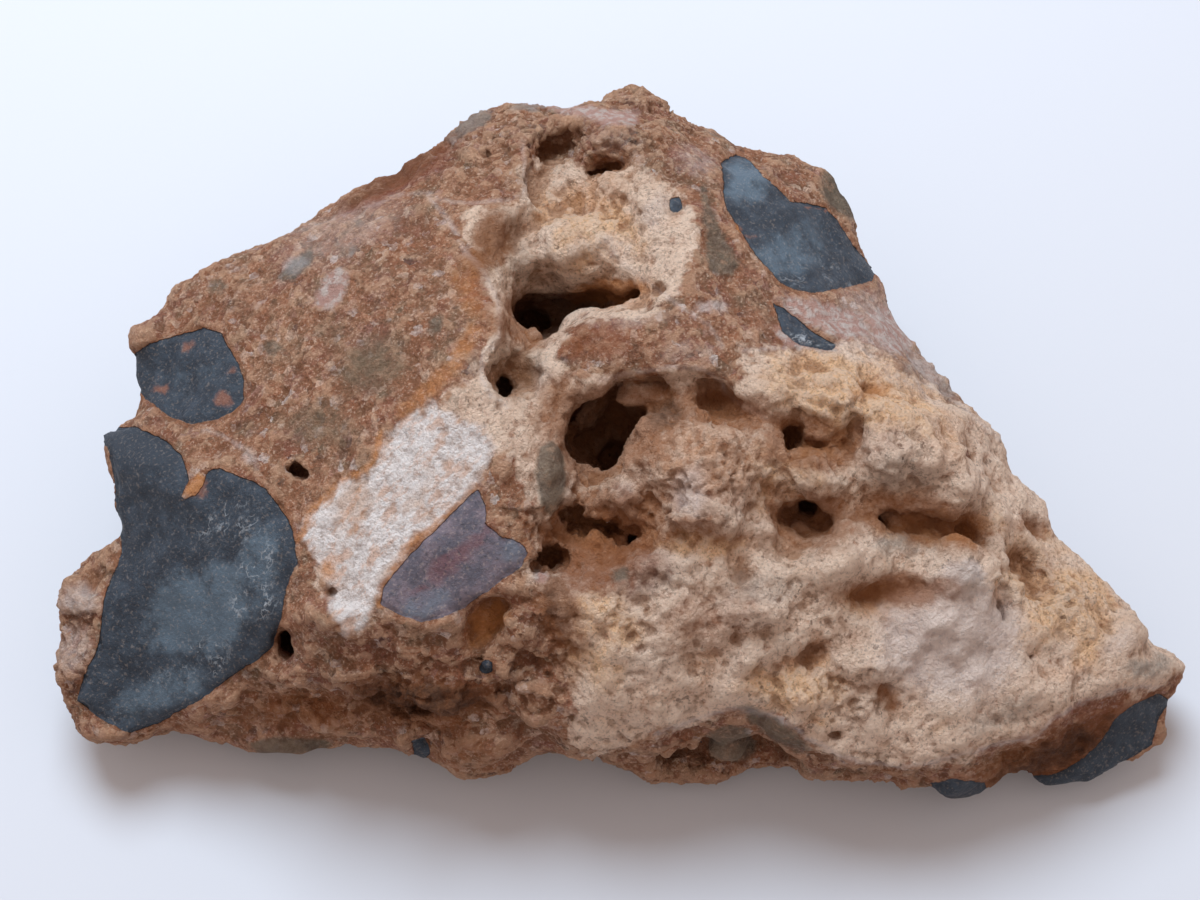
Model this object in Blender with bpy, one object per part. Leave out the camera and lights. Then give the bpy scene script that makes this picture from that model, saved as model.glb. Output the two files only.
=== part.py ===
"""A broken hand specimen of dolomite conglomerate: one stone, 120 mm long, that rests on a small flat spot.

The stone is blocked out as it was seen in its photograph. Its upper face is a sheet of broken facets between
named crests and edges, each point given by the photograph's pixel and by its height above the table. The sheet
is carried down into a block, the hidden side is broken off along planes, hollows are cut and lumps are grown,
and the whole is worn by a little seeded roughness.
"""

import math

import bmesh
import bpy
from mathutils import Vector, geometry, noise
from mathutils.bvhtree import BVHTree

MM = 0.001

# Driving dimensions.
STONE_LENGTH = 120 * MM
BLOCK_DEPTH = 75 * MM
TABLE_SIZE = 300 * MM

# How finely the stone and the shapes that are cut from it or joined to it are meshed, and how many of the
# stone's triangles are kept.
STONE_VOXEL = 0.65 * MM
CUTTER_VOXEL = 0.5 * MM
TRIANGLES = 9300

# How the photograph sees the stone: X runs to its right, Y away from it, Z up from the table.
PHOTO_WIDTH = 1200
PHOTO_HEIGHT = 900
STONE_PIXELS = 1096
FOCAL_PIXELS = 2000
VIEW_ELEVATION = math.radians(62)
VIEW_TARGET = Vector((-2.1, -2.9, 15.0)) * MM

PIXEL = STONE_LENGTH / STONE_PIXELS
AHEAD = Vector((0, math.cos(VIEW_ELEVATION), -math.sin(VIEW_ELEVATION)))
UPWARD = Vector((0, math.sin(VIEW_ELEVATION), math.cos(VIEW_ELEVATION)))
RIGHT = Vector((1, 0, 0))
EYE = VIEW_TARGET - AHEAD * (PIXEL * FOCAL_PIXELS)

# The stone's outline as it is seen, clockwise from the left end: pixel across, pixel down, height in mm.
BACK_OUTLINE = [
    (115, 376, 20), (117, 345, 21), (138, 312, 23), (160, 294, 24), (205, 270, 26), (250, 247, 27),
    (288, 235, 28), (340, 194, 25), (400, 160, 25), (434, 138, 26), (478, 106, 28), (500, 99, 29),
    (560, 107, 29), (610, 104, 28), (613, 90, 25), (640, 84, 25), (655, 93, 25), (666, 112, 26),
    (700, 124, 26), (740, 148, 25), (785, 154, 24), (830, 174, 23), (850, 198, 21), (862, 245, 20),
    (874, 272, 20), (902, 333, 20), (930, 365, 20), (960, 400, 20), (998, 437, 19), (1008, 470, 19),
    (1045, 502, 17), (1062, 543, 16), (1105, 582, 15), (1126, 600, 14), (1140, 630, 13), (1192, 667, 11),
]
FRONT_OUTLINE = [
    (1168, 698, 8), (1170, 724, 6), (1159, 752, 5), (1122, 770, 5), (1080, 791, 3), (1048, 790, 3),
    (1018, 768, 6), (984, 798, 3), (952, 801, 3), (915, 783, 6), (860, 776, 7), (790, 774, 7),
    (720, 780, 5), (680, 776, 5), (652, 791, 4), (624, 768, 6), (580, 753, 9), (545, 751, 10),
    (505, 770, 6), (472, 781, 5), (432, 763, 6), (395, 751, 8), (336, 745, 6), (272, 758, 4),
    (240, 752, 5), (196, 738, 7), (163, 728, 8), (146, 742, 7), (108, 749, 5), (74, 730, 7),
    (55, 682, 10), (54, 606, 13), (72, 583, 14), (84, 552, 15), (118, 546, 18), (113, 505, 20),
    (107, 470, 21), (94, 429, 21), (132, 424, 20), (126, 408, 18),
]

# Crests, edges and valleys of the upper face, which stay sharp between its facets.
CREASES = {
    "back ridge": [(288, 235, 28), (335, 222, 30), (400, 206, 33), (432, 197, 34.5), (480, 207, 35), (524, 201, 35)],
    "hollow's left rim": [
        (432, 197, 34.5), (455, 222, 35.5), (478, 262, 36.5), (498, 292, 37), (500, 335, 37.5),
        (478, 372, 37), (500, 402, 35.5),
    ],
    "middle spur": [(500, 402, 35.5), (515, 440, 34.5), (522, 480, 33.5), (530, 520, 32), (526, 562, 30.5)],
    "slot's lower lip": [(520, 372, 34), (556, 336, 34.5), (600, 323, 36), (640, 315, 36.5), (672, 302, 37)],
    "plate's lower rim": [(560, 392, 33.5), (600, 378, 34.5), (645, 366, 35.5), (700, 369, 36), (738, 380, 35)],
    "right crest": [
        (672, 302, 37), (700, 318, 36.5), (745, 346, 35), (830, 350, 32.5), (900, 376, 29.5), (960, 412, 25),
        (998, 437, 19),
    ],
    "top block's crest": [(500, 99, 29), (524, 140, 34), (545, 122, 33), (612, 120, 33.5), (648, 128, 34), (660, 165, 35)],
    "bowl's left wall": [(524, 140, 34), (524, 201, 35), (532, 228, 31)],
    "bowl's right wall": [(660, 165, 35), (690, 235, 36), (672, 302, 37)],
    "front edge, right": [
        (1192, 667, 11), (1128, 687, 14.5), (1092, 693, 15), (1050, 726, 15), (1002, 742, 15), (960, 757, 15),
        (905, 768, 15), (860, 762, 16), (805, 737, 18), (765, 712, 20), (728, 709, 20), (660, 735, 18),
        (600, 750, 16), (562, 748, 15),
    ],
    "dark pebble's edge": [
        (94, 429, 21), (155, 428, 24), (182, 452, 25.5), (222, 470, 27.5), (262, 492, 28.5), (290, 520, 28.5),
        (299, 556, 27.5), (284, 622, 23.5), (252, 660, 18.5), (196, 702, 13), (128, 730, 9), (80, 702, 11),
        (100, 618, 15.5), (118, 546, 18),
    ],
    "dark pebble's step, upper side": [(112, 470, 23.5), (150, 483, 25), (180, 497, 26.3)],
    "dark pebble's step, foot": [(116, 482, 21), (148, 494, 22.6), (180, 507, 24.2)],
    "pale patch's edge": [
        (432, 410, 35), (385, 440, 33.5), (345, 480, 31), (306, 520, 29), (318, 580, 27.5), (338, 640, 25.5),
    ],
    "purple pebble's edge": [
        (480, 490, 33), (440, 540, 31.5), (383, 600, 29), (424, 624, 27.5), (480, 602, 28.5), (526, 562, 30.5),
    ],
    "upper ledge": [(284, 640, 20), (338, 640, 25.5), (400, 646, 25), (440, 648, 25), (480, 672, 23), (500, 690, 20)],
    "lower ledge": [
        (196, 702, 13), (262, 690, 15), (345, 690, 17), (400, 703, 17), (455, 718, 16), (500, 712, 17),
        (556, 700, 19), (562, 748, 15),
    ],
    "groove beside the spur": [(526, 562, 30.5), (546, 612, 26), (574, 652, 24), (576, 690, 21), (556, 700, 19)],
}

# Single points between the creases.
POINTS = {
    "left face": [
        (160, 395, 22.5), (150, 350, 23), (205, 325, 27), (245, 385, 28), (205, 425, 25.5), (300, 290, 31),
        (370, 250, 33.5), (320, 350, 32), (400, 320, 35), (440, 270, 35.5), (400, 390, 34.5), (330, 430, 31.5),
        (260, 455, 28.5), (300, 475, 29), (460, 420, 35.5),
    ],
    "face behind the back ridge": [(350, 205, 29), (420, 175, 31), (470, 150, 32.5), (480, 180, 34)],
    "dark pebble's face": [
        (140, 452, 24.8), (215, 530, 25.5), (150, 580, 19), (230, 600, 22), (180, 650, 15.5),
        (120, 670, 12.5),
    ],
    "left lumps": [(80, 610, 14), (75, 670, 11.5), (95, 728, 8), (140, 732, 8)],
    "pale patch": [(430, 470, 33.5), (380, 530, 31), (350, 590, 28), (470, 455, 34.5)],
    "below the purple pebble": [(400, 634, 26.5), (455, 628, 26.5), (510, 600, 28), (520, 650, 24.5), (480, 640, 25)],
    "front, left": [
        (240, 715, 10), (300, 720, 11), (370, 725, 12), (300, 668, 19), (380, 672, 21), (440, 690, 20),
        (520, 730, 13), (470, 745, 12), (430, 738, 10),
    ],
    "front wall, right": [
        (650, 760, 9), (700, 745, 12), (760, 745, 12), (820, 762, 11), (930, 776, 8), (1000, 757, 9),
        (1060, 765, 6), (1110, 730, 8), (1140, 705, 10),
    ],
    "slope beside the slot": [(480, 232, 34.5), (508, 262, 32.5)],
    "bowl": [
        (548, 172, 31), (560, 210, 31), (592, 186, 31.5), (600, 230, 32), (560, 260, 31), (640, 215, 34),
        (640, 270, 33.5),
    ],
    "slot": [(520, 310, 24), (540, 330, 25), (590, 300, 27), (640, 296, 31)],
    "top": [(580, 112, 31), (640, 105, 29), (580, 150, 33.5), (630, 150, 34.5)],
    "back, right": [
        (700, 150, 31), (720, 200, 34), (700, 270, 36.5), (760, 170, 29), (800, 210, 28), (845, 255, 24),
        (760, 260, 33), (810, 300, 31), (870, 320, 26), (900, 350, 25), (940, 390, 24),
    ],
    "plate": [(640, 340, 36.5), (700, 345, 36.5)],
    "tongue": [(540, 400, 33.5), (560, 430, 32)],
    "middle hollow": [
        (620, 400, 29.5), (660, 400, 31.5), (700, 400, 32.5), (600, 440, 25), (735, 415, 31.5), (580, 430, 29),
        (570, 480, 31), (600, 500, 30), (640, 480, 31), (700, 450, 34), (740, 470, 33.5), (700, 500, 33.5),
        (690, 530, 32), (570, 540, 27), (610, 535, 27), (640, 520, 29), (645, 560, 29.5), (740, 530, 30),
    ],
    "right of the middle": [
        (770, 385, 34.5), (800, 425, 32.4), (790, 470, 31.4), (830, 400, 33.4), (840, 445, 31), (830, 480, 30.5),
        (800, 520, 27), (860, 395, 32), (900, 425, 32), (940, 410, 29), (950, 455, 30), (880, 475, 31),
        (935, 490, 30), (860, 510, 28), (900, 525, 26), (960, 530, 25), (985, 480, 25), (1005, 505, 22),
        (870, 545, 27.5), (940, 560, 26.5), (995, 560, 25), (1030, 550, 19.5), (1020, 580, 21),
    ],
    "lower face": [
        (700, 580, 29.5), (760, 570, 28.5), (820, 560, 28), (840, 600, 26), (900, 590, 25), (960, 600, 25),
        (1060, 600, 19), (1110, 640, 16), (600, 600, 29.5), (560, 600, 28.5), (620, 650, 26.5), (600, 700, 22),
        (660, 690, 22.5), (700, 640, 26), (760, 640, 25), (760, 680, 22), (820, 650, 23.5), (830, 700, 20.5),
        (890, 660, 22), (890, 710, 19), (880, 745, 17), (940, 660, 22), (950, 715, 18.5), (1000, 640, 22),
        (1010, 690, 18.5), (1060, 650, 18.5), (1060, 690, 17), (1110, 670, 16), (1150, 672, 14),
    ],
}

# The hidden side's broken faces. Those behind the outline pass through two of its points, clockwise, and lean
# in behind it by some degrees. Those below are given by a point in mm and the way they face, and the last four
# slope up from the flat spot, which lies between their points.
BACK_FACES = {
    "left end": ((54, 606, 13), (95, 429, 19), 38),
    "left corner": ((94, 429, 19), (114, 345, 19), 26),
    "back left": ((205, 270, 24.5), (478, 104, 25), 24),
    "back": ((500, 95, 27), (640, 80, 24), 14),
    "back right": ((655, 93, 25), (830, 174, 23), 27),
    "right": ((850, 198, 21), (1192, 667, 11), 36),
}
UNDER_FACES = {
    "back left, lower": ((-30, 22, 12), (-0.45, 0.62, -0.64)),
    "back, lower": ((2, 33, 13), (0.10, 0.78, -0.62)),
    "back right, lower": ((34, 13, 9), (0.50, 0.45, -0.74)),
    "left end, lower": ((-54, -8, 7), (-0.60, 0.20, -0.77)),
    "under the left end": ((-19, 0, 0), (-0.15, 0.03, -0.99)),
    "under the right end": ((19, 0, 0), (0.15, 0.06, -0.98)),
    "under the front": ((0, -15, 0), (0.0, -0.13, -0.99)),
    "under the back": ((0, 10, 0), (0.03, 0.19, -0.98)),
}
OUTLINE_MARGIN = 0.4 * MM

# The stone's hollows, then the lumps that grow in and beside them, then the holes that run into both. Each is a
# rough ellipsoid: pixel across, pixel down, how deep its middle lies under the blocked-out face in mm, its radii
# in mm across, up and along the view, and its turn in degrees.
HOLLOWS = {
    "slot": (560, 312, 2.2, (6.0, 2.3, 8.0), 8),
    "slot's left end": (522, 318, 5.0, (2.2, 3.4, 9.0), 0),
    "slot's right end": (635, 297, 3.0, (4.2, 1.3, 4.4), 15),
    "slot's notch": (548, 334, 4.0, (1.4, 1.7, 5.0), 0),
    "bowl's left corner": (537, 186, 0.6, (1.2, 3.2, 2.6), -4),
    "under the top block": (606, 169, 1.2, (3.6, 0.9, 3.2), 4),
    "hollow in the top rim": (562, 141, 0.6, (2.8, 1.8, 3.2), 20),
    "crack left of the rim": (488, 150, 0.2, (0.7, 1.8, 2.0), -25),
    "middle hollow": (600, 425, 1.0, (4.4, 3.6, 6.0), 35),
    "under the plate": (634, 390, 0.6, (4.6, 1.4, 3.0), 6),
    "under the plate's right end": (708, 388, 0.2, (2.4, 1.1, 2.2), -10),
    "channel to the right hole": (742, 413, 0.3, (3.4, 1.1, 2.2), -22),
    "trough below the left rim": (515, 369, 0.6, (2.7, 3.0, 3.2), 15),
    "below the big lump": (903, 522, 0.7, (4.0, 1.3, 2.8), -6),
    "right end of that hollow": (962, 535, 0.9, (2.8, 1.5, 3.0), 0),
    "dip at the right edge": (1036, 530, 0.4, (3.2, 1.2, 1.8), -12),
    "right trough": (1032, 575, 0.5, (3.6, 2.7, 2.8), -35),
    "notch beside the pale lump": (1003, 604, 0.4, (1.0, 1.6, 2.2), 0),
    "long trough": (890, 592, 0.4, (5.6, 1.0, 2.0), 6),
    "orange hollow": (487, 622, 0.7, (3.7, 2.2, 3.2), 42),
    "brown hollow": (596, 526, 1.4, (3.8, 1.9, 3.4), -15),
    "arch": (735, 757, 1.2, (8.5, 4.6, 3.8), 0),
    "furrow between the knolls": (880, 692, 0.3, (0.9, 3.2, 1.8), 35),
    "furrow above the knolls": (815, 655, 0.4, (3.4, 1.0, 1.8), 30),
    "dip in the crest": (869, 392, 0.2, (1.8, 1.1, 1.6), 0),
    "under the middle ledge": (385, 704, 0.6, (6.4, 1.0, 3.2), -3),
    "under the left ledge": (285, 696, 0.5, (5.0, 0.9, 2.6), 2),
    "beside the front lobe": (434, 734, 0.6, (1.6, 1.7, 2.6), 20),
    "crevice in front": (503, 686, 0.6, (1.9, 0.8, 3.2), 20),
}
LUMPS = {
    "bowl's bulge": (592, 252, 0.6, (5.8, 3.4, 3.8), -4),
    "bowl's knob": (618, 187, 0.3, (2.4, 1.5, 1.8), 0),
    "bowl's pale knob": (652, 208, 0.4, (2.0, 2.6, 2.0), 0),
    "top block": (614, 144, 0.3, (3.2, 1.8, 2.8), -4),
    "top knob": (638, 103, 0.6, (2.4, 1.8, 2.4), 0),
    "knob in the slot": (527, 352, 3.6, (1.1, 1.4, 2.4), 0),
    "middle lump": (706, 466, 1.2, (5.2, 4.4, 3.9), -10),
    "middle lump's head": (668, 430, 0.8, (3.2, 1.9, 2.8), 10),
    "middle lump's neck": (692, 414, 0.4, (1.8, 2.2, 2.2), 0),
    "knob under the plate": (677, 389, 0.2, (1.2, 1.0, 1.4), 0),
    "middle lump's left knob": (645, 468, 0.3, (2.4, 2.3, 2.8), 0),
    "middle lump's foot": (700, 519, 0.7, (4.1, 2.3, 2.9), -8),
    "middle lump's shoulder": (746, 480, 0.8, (2.4, 2.7, 2.8), 0),
    "knob below the big hole": (618, 492, 0.2, (2.2, 1.7, 2.4), -20),
    "lump below the middle": (670, 563, 0.4, (2.8, 1.5, 2.0), 0),
    "pebble in the middle": (548, 478, 0.7, (1.8, 3.7, 2.8), -8),
    "big lump": (900, 455, 0.9, (4.8, 3.4, 3.8), -6),
    "big lump's shoulder": (951, 470, 0.8, (2.4, 3.3, 3.0), 0),
    "crest lump": (762, 389, 0.6, (3.6, 3.0, 3.0), 0),
    "second crest lump": (826, 399, 0.8, (3.6, 3.4, 2.6), 0),
    "third crest lump": (886, 424, 0.4, (3.0, 2.5, 2.8), 0),
    "rib between the holes": (815, 478, 0.3, (4.1, 1.4, 2.4), -6),
    "knoll left of the pocket": (765, 530, 0.5, (2.0, 2.1, 1.9), 0),
    "rib below the pocket": (832, 562, 0.5, (4.0, 1.5, 2.2), 12),
    "pale lump": (962, 573, 0.2, (4.2, 3.0, 2.6), -8),
    "pitted knoll": (742, 604, 0.4, (4.6, 2.6, 2.2), 0),
    "left lower knoll": (762, 652, 0.3, (3.6, 1.6, 2.1), 25),
    "right lower knoll": (862, 664, 0.3, (3.3, 1.7, 2.2), -35),
    "lowest knoll": (806, 692, 0.3, (2.7, 1.5, 2.0), 10),
    "bump on the right face": (1076, 625, 0.5, (3.4, 2.0, 1.9), -30),
    "rib at the right tip": (1122, 640, 0.4, (2.0, 2.7, 1.8), -30),
    "front lobe": (478, 745, 0.8, (4.8, 2.7, 4.2), 12),
    "brown pebble in front": (408, 725, 0.2, (2.2, 2.4, 2.6), -25),
    "lobe beside the groove": (540, 694, 0.8, (2.9, 3.6, 3.4), 0),
    "left ledge's lump": (290, 673, 0.5, (3.8, 1.4, 2.8), 3),
    "middle ledge's lump": (362, 671, 0.5, (3.8, 1.6, 2.8), 0),
    "right ledge's lump": (432, 694, 0.5, (4.0, 1.4, 3.2), -14),
    "lump beside the front hole": (328, 618, 0.6, (2.1, 2.2, 2.4), 0),
    "lip of the orange hollow": (518, 628, 0.4, (2.7, 1.4, 2.2), -35),
    "lump under the ledge": (345, 722, 0.4, (5.2, 1.7, 2.6), 0),
    "low lump in front": (272, 744, 0.6, (4.0, 1.1, 2.6), 0),
    "left corner": (149, 342, 1.2, (2.3, 2.9, 3.2), 0),
    "pink lump": (78, 592, 0.7, (1.9, 2.6, 2.8), 0),
    "lower pink lump": (70, 666, 0.4, (1.6, 2.9, 2.6), 0),
    "left end's foot": (112, 733, 0.3, (3.2, 1.4, 2.6), 8),
    "pebble under the arch": (728, 748, 3.2, (2.5, 2.2, 3.2), 0),
    "dark pebble at the foot": (958, 786, 1.4, (2.7, 1.3, 2.8), 6),
}
HOLES = {
    "slot's throat": (530, 320, 7.0, (2.0, 2.4, 8.0), 0),
    "left rim's hole": (504, 388, 3.4, (1.3, 1.2, 5.0), 0),
    "big hole": (610, 455, 4.4, (1.9, 2.4, 7.0), -20),
    "big hole's upper end": (630, 426, 3.6, (2.5, 1.4, 5.0), 20),
    "right hole": (787, 438, 1.6, (1.6, 1.5, 5.0), 0),
    "trough right of that hole": (818, 446, 0.4, (2.6, 0.9, 1.8), 0),
    "arm of the right hole": (800, 418, 0.2, (0.9, 1.3, 1.6), -20),
    "pocket": (808, 519, 0.3, (3.2, 1.9, 3.0), -8),
    "pocket's throat": (806, 507, 2.4, (1.6, 1.0, 5.0), 0),
    "hole beside the purple pebble": (546, 561, 3.0, (2.1, 1.2, 5.0), 8),
    "small brown hole": (632, 537, 1.4, (1.0, 0.9, 3.2), 30),
    "hole in front, left": (286, 641, 0.6, (1.3, 1.9, 5.0), 0),
    "hole in the left face": (294, 470, 0.6, (1.0, 0.8, 3.0), 0),
}

# Where the stone is knobbly all over: pixel across, pixel down, radii in pixels, and by how many mm.
KNOBBLY = [
    (690, 470, 190, 130, 0.75),
    (860, 470, 190, 150, 0.70),
    (800, 640, 240, 110, 0.60),
    (1040, 620, 130, 110, 0.40),
    (600, 190, 110, 110, 0.30),
    (420, 690, 230, 70, 0.50),
    (80, 650, 60, 120, 0.40),
]
KNOBS_FADE = (0.6, 1.1)

# The layers of the seeded roughness: by how much, and how large its features are in mm. The front is knobbly where
# the list above says, the hidden side is broken in scoops that fade near the table, and all of it is uneven.
KNOB_SWELLS = (0.8, 6.0)
KNOB_BUMPS = (1.7, 3.2)
BROKEN_SCOOPS = (1.8, 15.0)
BROKEN_SWELLS = (0.5, 6.0)
BROKEN_SINK = 0.3
BROKEN_HEIGHT = 1.3 * MM
BROKEN_FADE = (0.05, 0.45)
TABLE_FADE = (1 * MM, 6 * MM)
TABLE_SHARE = 0.2
UNEVEN_SWELLS = (1.0, 3.0)
UNEVEN_GRAIN = (0.6, 1.5)
UNEVEN_HEIGHT = 0.22 * MM

# How the surface of an ellipsoid is worn: by what share of its radius, and how large the features are beside the
# radius. The pattern's place changes by BLOB_VARIETY for each metre, so that no two ellipsoids are alike.
BLOB_SWELLS = (0.18, 0.7)
BLOB_GRAIN = (0.07, 0.3)
BLOB_SCOOPS = (0.30, 0.8)
BLOB_VARIETY = 400
BLOB_SUBDIVISIONS = 4

# What the tools take: a plane's thickness when it cuts, and how near two pixels are one point.
CUT_THICKNESS = 0.01 * MM
SAME_PIXEL = 0.01
INSIDE_THE_OUTLINE = 1

STONE_COLOUR = (0.42, 0.26, 0.17, 1.0)
STONE_ROUGHNESS = 0.9
SHARP_ANGLE = math.radians(28)


def seen(u, v, height):
    """The point at a height in mm that the photograph shows at the pixel (u, v)."""
    ray = RIGHT * (u - PHOTO_WIDTH / 2) + UPWARD * (PHOTO_HEIGHT / 2 - v) + AHEAD * FOCAL_PIXELS
    return EYE + ray * ((height * MM - EYE.z) / ray.z)


def pixel_of(point):
    """The pixel at which the photograph shows a point."""
    ray = point - EYE
    depth = ray.dot(AHEAD)
    u = PHOTO_WIDTH / 2 + ray.dot(RIGHT) / depth * FOCAL_PIXELS
    v = PHOTO_HEIGHT / 2 - ray.dot(UPWARD) / depth * FOCAL_PIXELS
    return u, v


def upper_face():
    """The face that the photograph shows: one sheet of triangles between the outline, creases and points."""
    places = []
    numbers = {}

    def number_of(point):
        pixel = point[:2]
        if pixel not in numbers:
            numbers[pixel] = len(places)
            places.append(point)
        return numbers[pixel]

    outline = [number_of(point) for point in BACK_OUTLINE + FRONT_OUTLINE]
    edges = []
    for crease in CREASES.values():
        along = [number_of(point) for point in crease]
        edges += list(zip(along, along[1:]))
    for points in POINTS.values():
        for point in points:
            number_of(point)
    flat = [Vector(point[:2]) for point in places]
    sheet = geometry.delaunay_2d_cdt(flat, edges, [outline], INSIDE_THE_OUTLINE, SAME_PIXEL)
    _, _, triangles, origins, _, _ = sheet
    if not all(origins):
        raise ValueError("two creases cross where neither has a point")
    mesh = bmesh.new()
    corners = [mesh.verts.new(seen(*places[ids[0]])) for ids in origins]
    for triangle in triangles:
        mesh.faces.new([corners[n] for n in triangle])
    return mesh


def block():
    """The upper face carried down along the view into a solid, and broken off along the hidden faces."""
    mesh = upper_face()
    carried = bmesh.ops.extrude_face_region(mesh, geom=list(mesh.faces), use_keep_orig=True)
    moved = [item for item in carried["geom"] if isinstance(item, bmesh.types.BMVert)]
    bmesh.ops.translate(mesh, verts=moved, vec=AHEAD * BLOCK_DEPTH)
    for first, second, lean in BACK_FACES.values():
        along = (seen(*second) - seen(*first)).normalized()
        outward = -AHEAD.cross(along).normalized()
        angle = math.radians(lean)
        break_off(mesh, seen(*first) + outward * OUTLINE_MARGIN, outward * math.cos(angle) + AHEAD * math.sin(angle))
    for point, normal in UNDER_FACES.values():
        break_off(mesh, Vector(point) * MM, Vector(normal).normalized())
    bmesh.ops.recalc_face_normals(mesh, faces=mesh.faces)
    return mesh


def break_off(mesh, point, normal):
    """Cuts away what lies beyond a plane, and closes the cut with one flat face."""
    cut = bmesh.ops.bisect_plane(
        mesh,
        geom=mesh.verts[:] + mesh.edges[:] + mesh.faces[:],
        dist=CUT_THICKNESS,
        plane_co=point,
        plane_no=normal,
        clear_outer=True,
    )
    rim = [item for item in cut["geom_cut"] if isinstance(item, bmesh.types.BMEdge)]
    bmesh.ops.triangle_fill(mesh, use_beauty=True, use_dissolve=False, edges=rim)


def blob(face, u, v, sink, radii, turn):
    """A rough ellipsoid behind the pixel (u, v), with its middle sink mm under the blocked-out face.

    Its radii in mm run across the photograph, up it and along the view, and it is turned by turn degrees
    anticlockwise as the photograph shows it.
    """
    ray = (seen(u, v, 0) - EYE).normalized()
    place = face.ray_cast(EYE, ray)[0] + AHEAD * sink * MM
    angle = math.radians(turn)
    side = RIGHT * math.cos(angle) + UPWARD * math.sin(angle)
    top = UPWARD * math.cos(angle) - RIGHT * math.sin(angle)
    across, up, deep = (radius * MM for radius in radii)
    mesh = bmesh.new()
    bmesh.ops.create_icosphere(mesh, subdivisions=BLOB_SUBDIVISIONS, radius=1.0)
    for vert in mesh.verts:
        spot = vert.co + place * BLOB_VARIETY
        wear = grain(spot, *BLOB_SWELLS) + grain(spot, *BLOB_GRAIN) - cells(spot, *BLOB_SCOOPS)
        x, y, z = vert.co * (1 + wear)
        vert.co = place + side * (x * across) + top * (y * up) + AHEAD * (z * deep)
    return mesh


def blobs(name, face, sizes):
    """The ellipsoids of one list as one object."""
    return solid(name, [blob(face, *values) for values in sizes.values()], CUTTER_VOXEL)


def solid(name, meshes, voxel):
    """Several closed meshes as one object, made one body by a voxel remesh."""
    data = bpy.data.meshes.new(name)
    whole = bmesh.new()
    for mesh in meshes:
        mesh.to_mesh(data)
        whole.from_mesh(data)
        mesh.free()
    whole.to_mesh(data)
    whole.free()
    obj = bpy.data.objects.new(name, data)
    bpy.context.scene.collection.objects.link(obj)
    remesh(obj, voxel)
    return obj


def remesh(obj, voxel):
    """Rebuilds the object's surface as one even skin."""
    modifier = obj.modifiers.new("one skin", "REMESH")
    modifier.mode = "VOXEL"
    modifier.voxel_size = voxel
    settle(obj)


def settle(obj):
    """Replaces the object's mesh by what its modifiers make of it."""
    bpy.context.view_layer.update()
    graph = bpy.context.evaluated_depsgraph_get()
    made = bpy.data.meshes.new_from_object(obj.evaluated_get(graph))
    obj.modifiers.clear()
    obj.data = made


def combine(obj, other, operation):
    """Cuts the other object from this one, or joins it to this one, and removes the other."""
    boolean = obj.modifiers.new(operation.lower(), "BOOLEAN")
    boolean.operation = operation
    boolean.object = other
    boolean.solver = "EXACT"
    settle(obj)
    bpy.data.objects.remove(other)


def smoothstep(low, high, value):
    """0 below low, 1 above high, and a smooth rise between."""
    share = min(max((value - low) / (high - low), 0.0), 1.0)
    return share * share * (3 - 2 * share)


def knobbliness(point):
    """By how many metres the stone is knobbly at a point."""
    u, v = pixel_of(point)
    depth = 0.0
    for middle_u, middle_v, reach_u, reach_v, height in KNOBBLY:
        away = math.hypot((u - middle_u) / reach_u, (v - middle_v) / reach_v)
        depth = max(depth, height * MM * (1 - smoothstep(*KNOBS_FADE, away)))
    return depth


def grain(point, height, size):
    """Smooth noise with features of a given size, between about -height and height."""
    return height * 2 * noise.noise(point / size)


def cells(point, height, size):
    """The distance to the nearest of many seeded points, less its mean: round bumps or scoops with sharp seams."""
    return height * (noise.voronoi(point / size)[0][0] - 0.5)


def roughen(obj):
    """Works the seeded roughness into the surface: knobs in front, broken unevenness behind."""
    mesh = bmesh.new()
    mesh.from_mesh(obj.data)
    mesh.normal_update()
    shifts = []
    for vert in mesh.verts:
        place = vert.co / MM
        hidden = smoothstep(*BROKEN_FADE, vert.normal.dot(AHEAD))
        above_table = TABLE_SHARE + (1 - TABLE_SHARE) * smoothstep(*TABLE_FADE, vert.co.z)
        uneven = grain(place, *UNEVEN_SWELLS) + grain(place, *UNEVEN_GRAIN)
        knobs = grain(place, *KNOB_SWELLS) - cells(place, *KNOB_BUMPS)
        broken = cells(place, *BROKEN_SCOOPS) + grain(place, *BROKEN_SWELLS) - BROKEN_SINK
        shift = UNEVEN_HEIGHT * uneven
        shift += knobbliness(vert.co) * (1 - hidden) * knobs
        shift += BROKEN_HEIGHT * hidden * above_table * broken
        shifts.append(vert.normal * shift)
    for vert, shift in zip(mesh.verts, shifts):
        vert.co += shift
    mesh.to_mesh(obj.data)
    mesh.free()


def thin_out(obj, triangles):
    """Keeps about this many triangles, most of them where the surface bends."""
    obj.data.calc_loop_triangles()
    modifier = obj.modifiers.new("fewer triangles", "DECIMATE")
    modifier.ratio = triangles / len(obj.data.loop_triangles)
    modifier.use_collapse_triangulate = True
    settle(obj)


def flatten_foot(obj):
    """Rubs the lowest place flat at the height of the table, where the stone rests."""
    data = bpy.data.meshes.new("table")
    table = bmesh.new()
    bmesh.ops.create_cube(table, size=TABLE_SIZE)
    bmesh.ops.translate(table, verts=table.verts, vec=(0, 0, -TABLE_SIZE / 2))
    table.to_mesh(data)
    table.free()
    cutter = bpy.data.objects.new("table", data)
    bpy.context.scene.collection.objects.link(cutter)
    combine(obj, cutter, "DIFFERENCE")


def stone_finish():
    """The stone's overall colour, dull all over."""
    material = bpy.data.materials.new("dolomite conglomerate")
    material.use_nodes = True
    shader = material.node_tree.nodes["Principled BSDF"]
    shader.inputs["Base Color"].default_value = STONE_COLOUR
    shader.inputs["Roughness"].default_value = STONE_ROUGHNESS
    shader.inputs["Metallic"].default_value = 0.0
    return material


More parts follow.
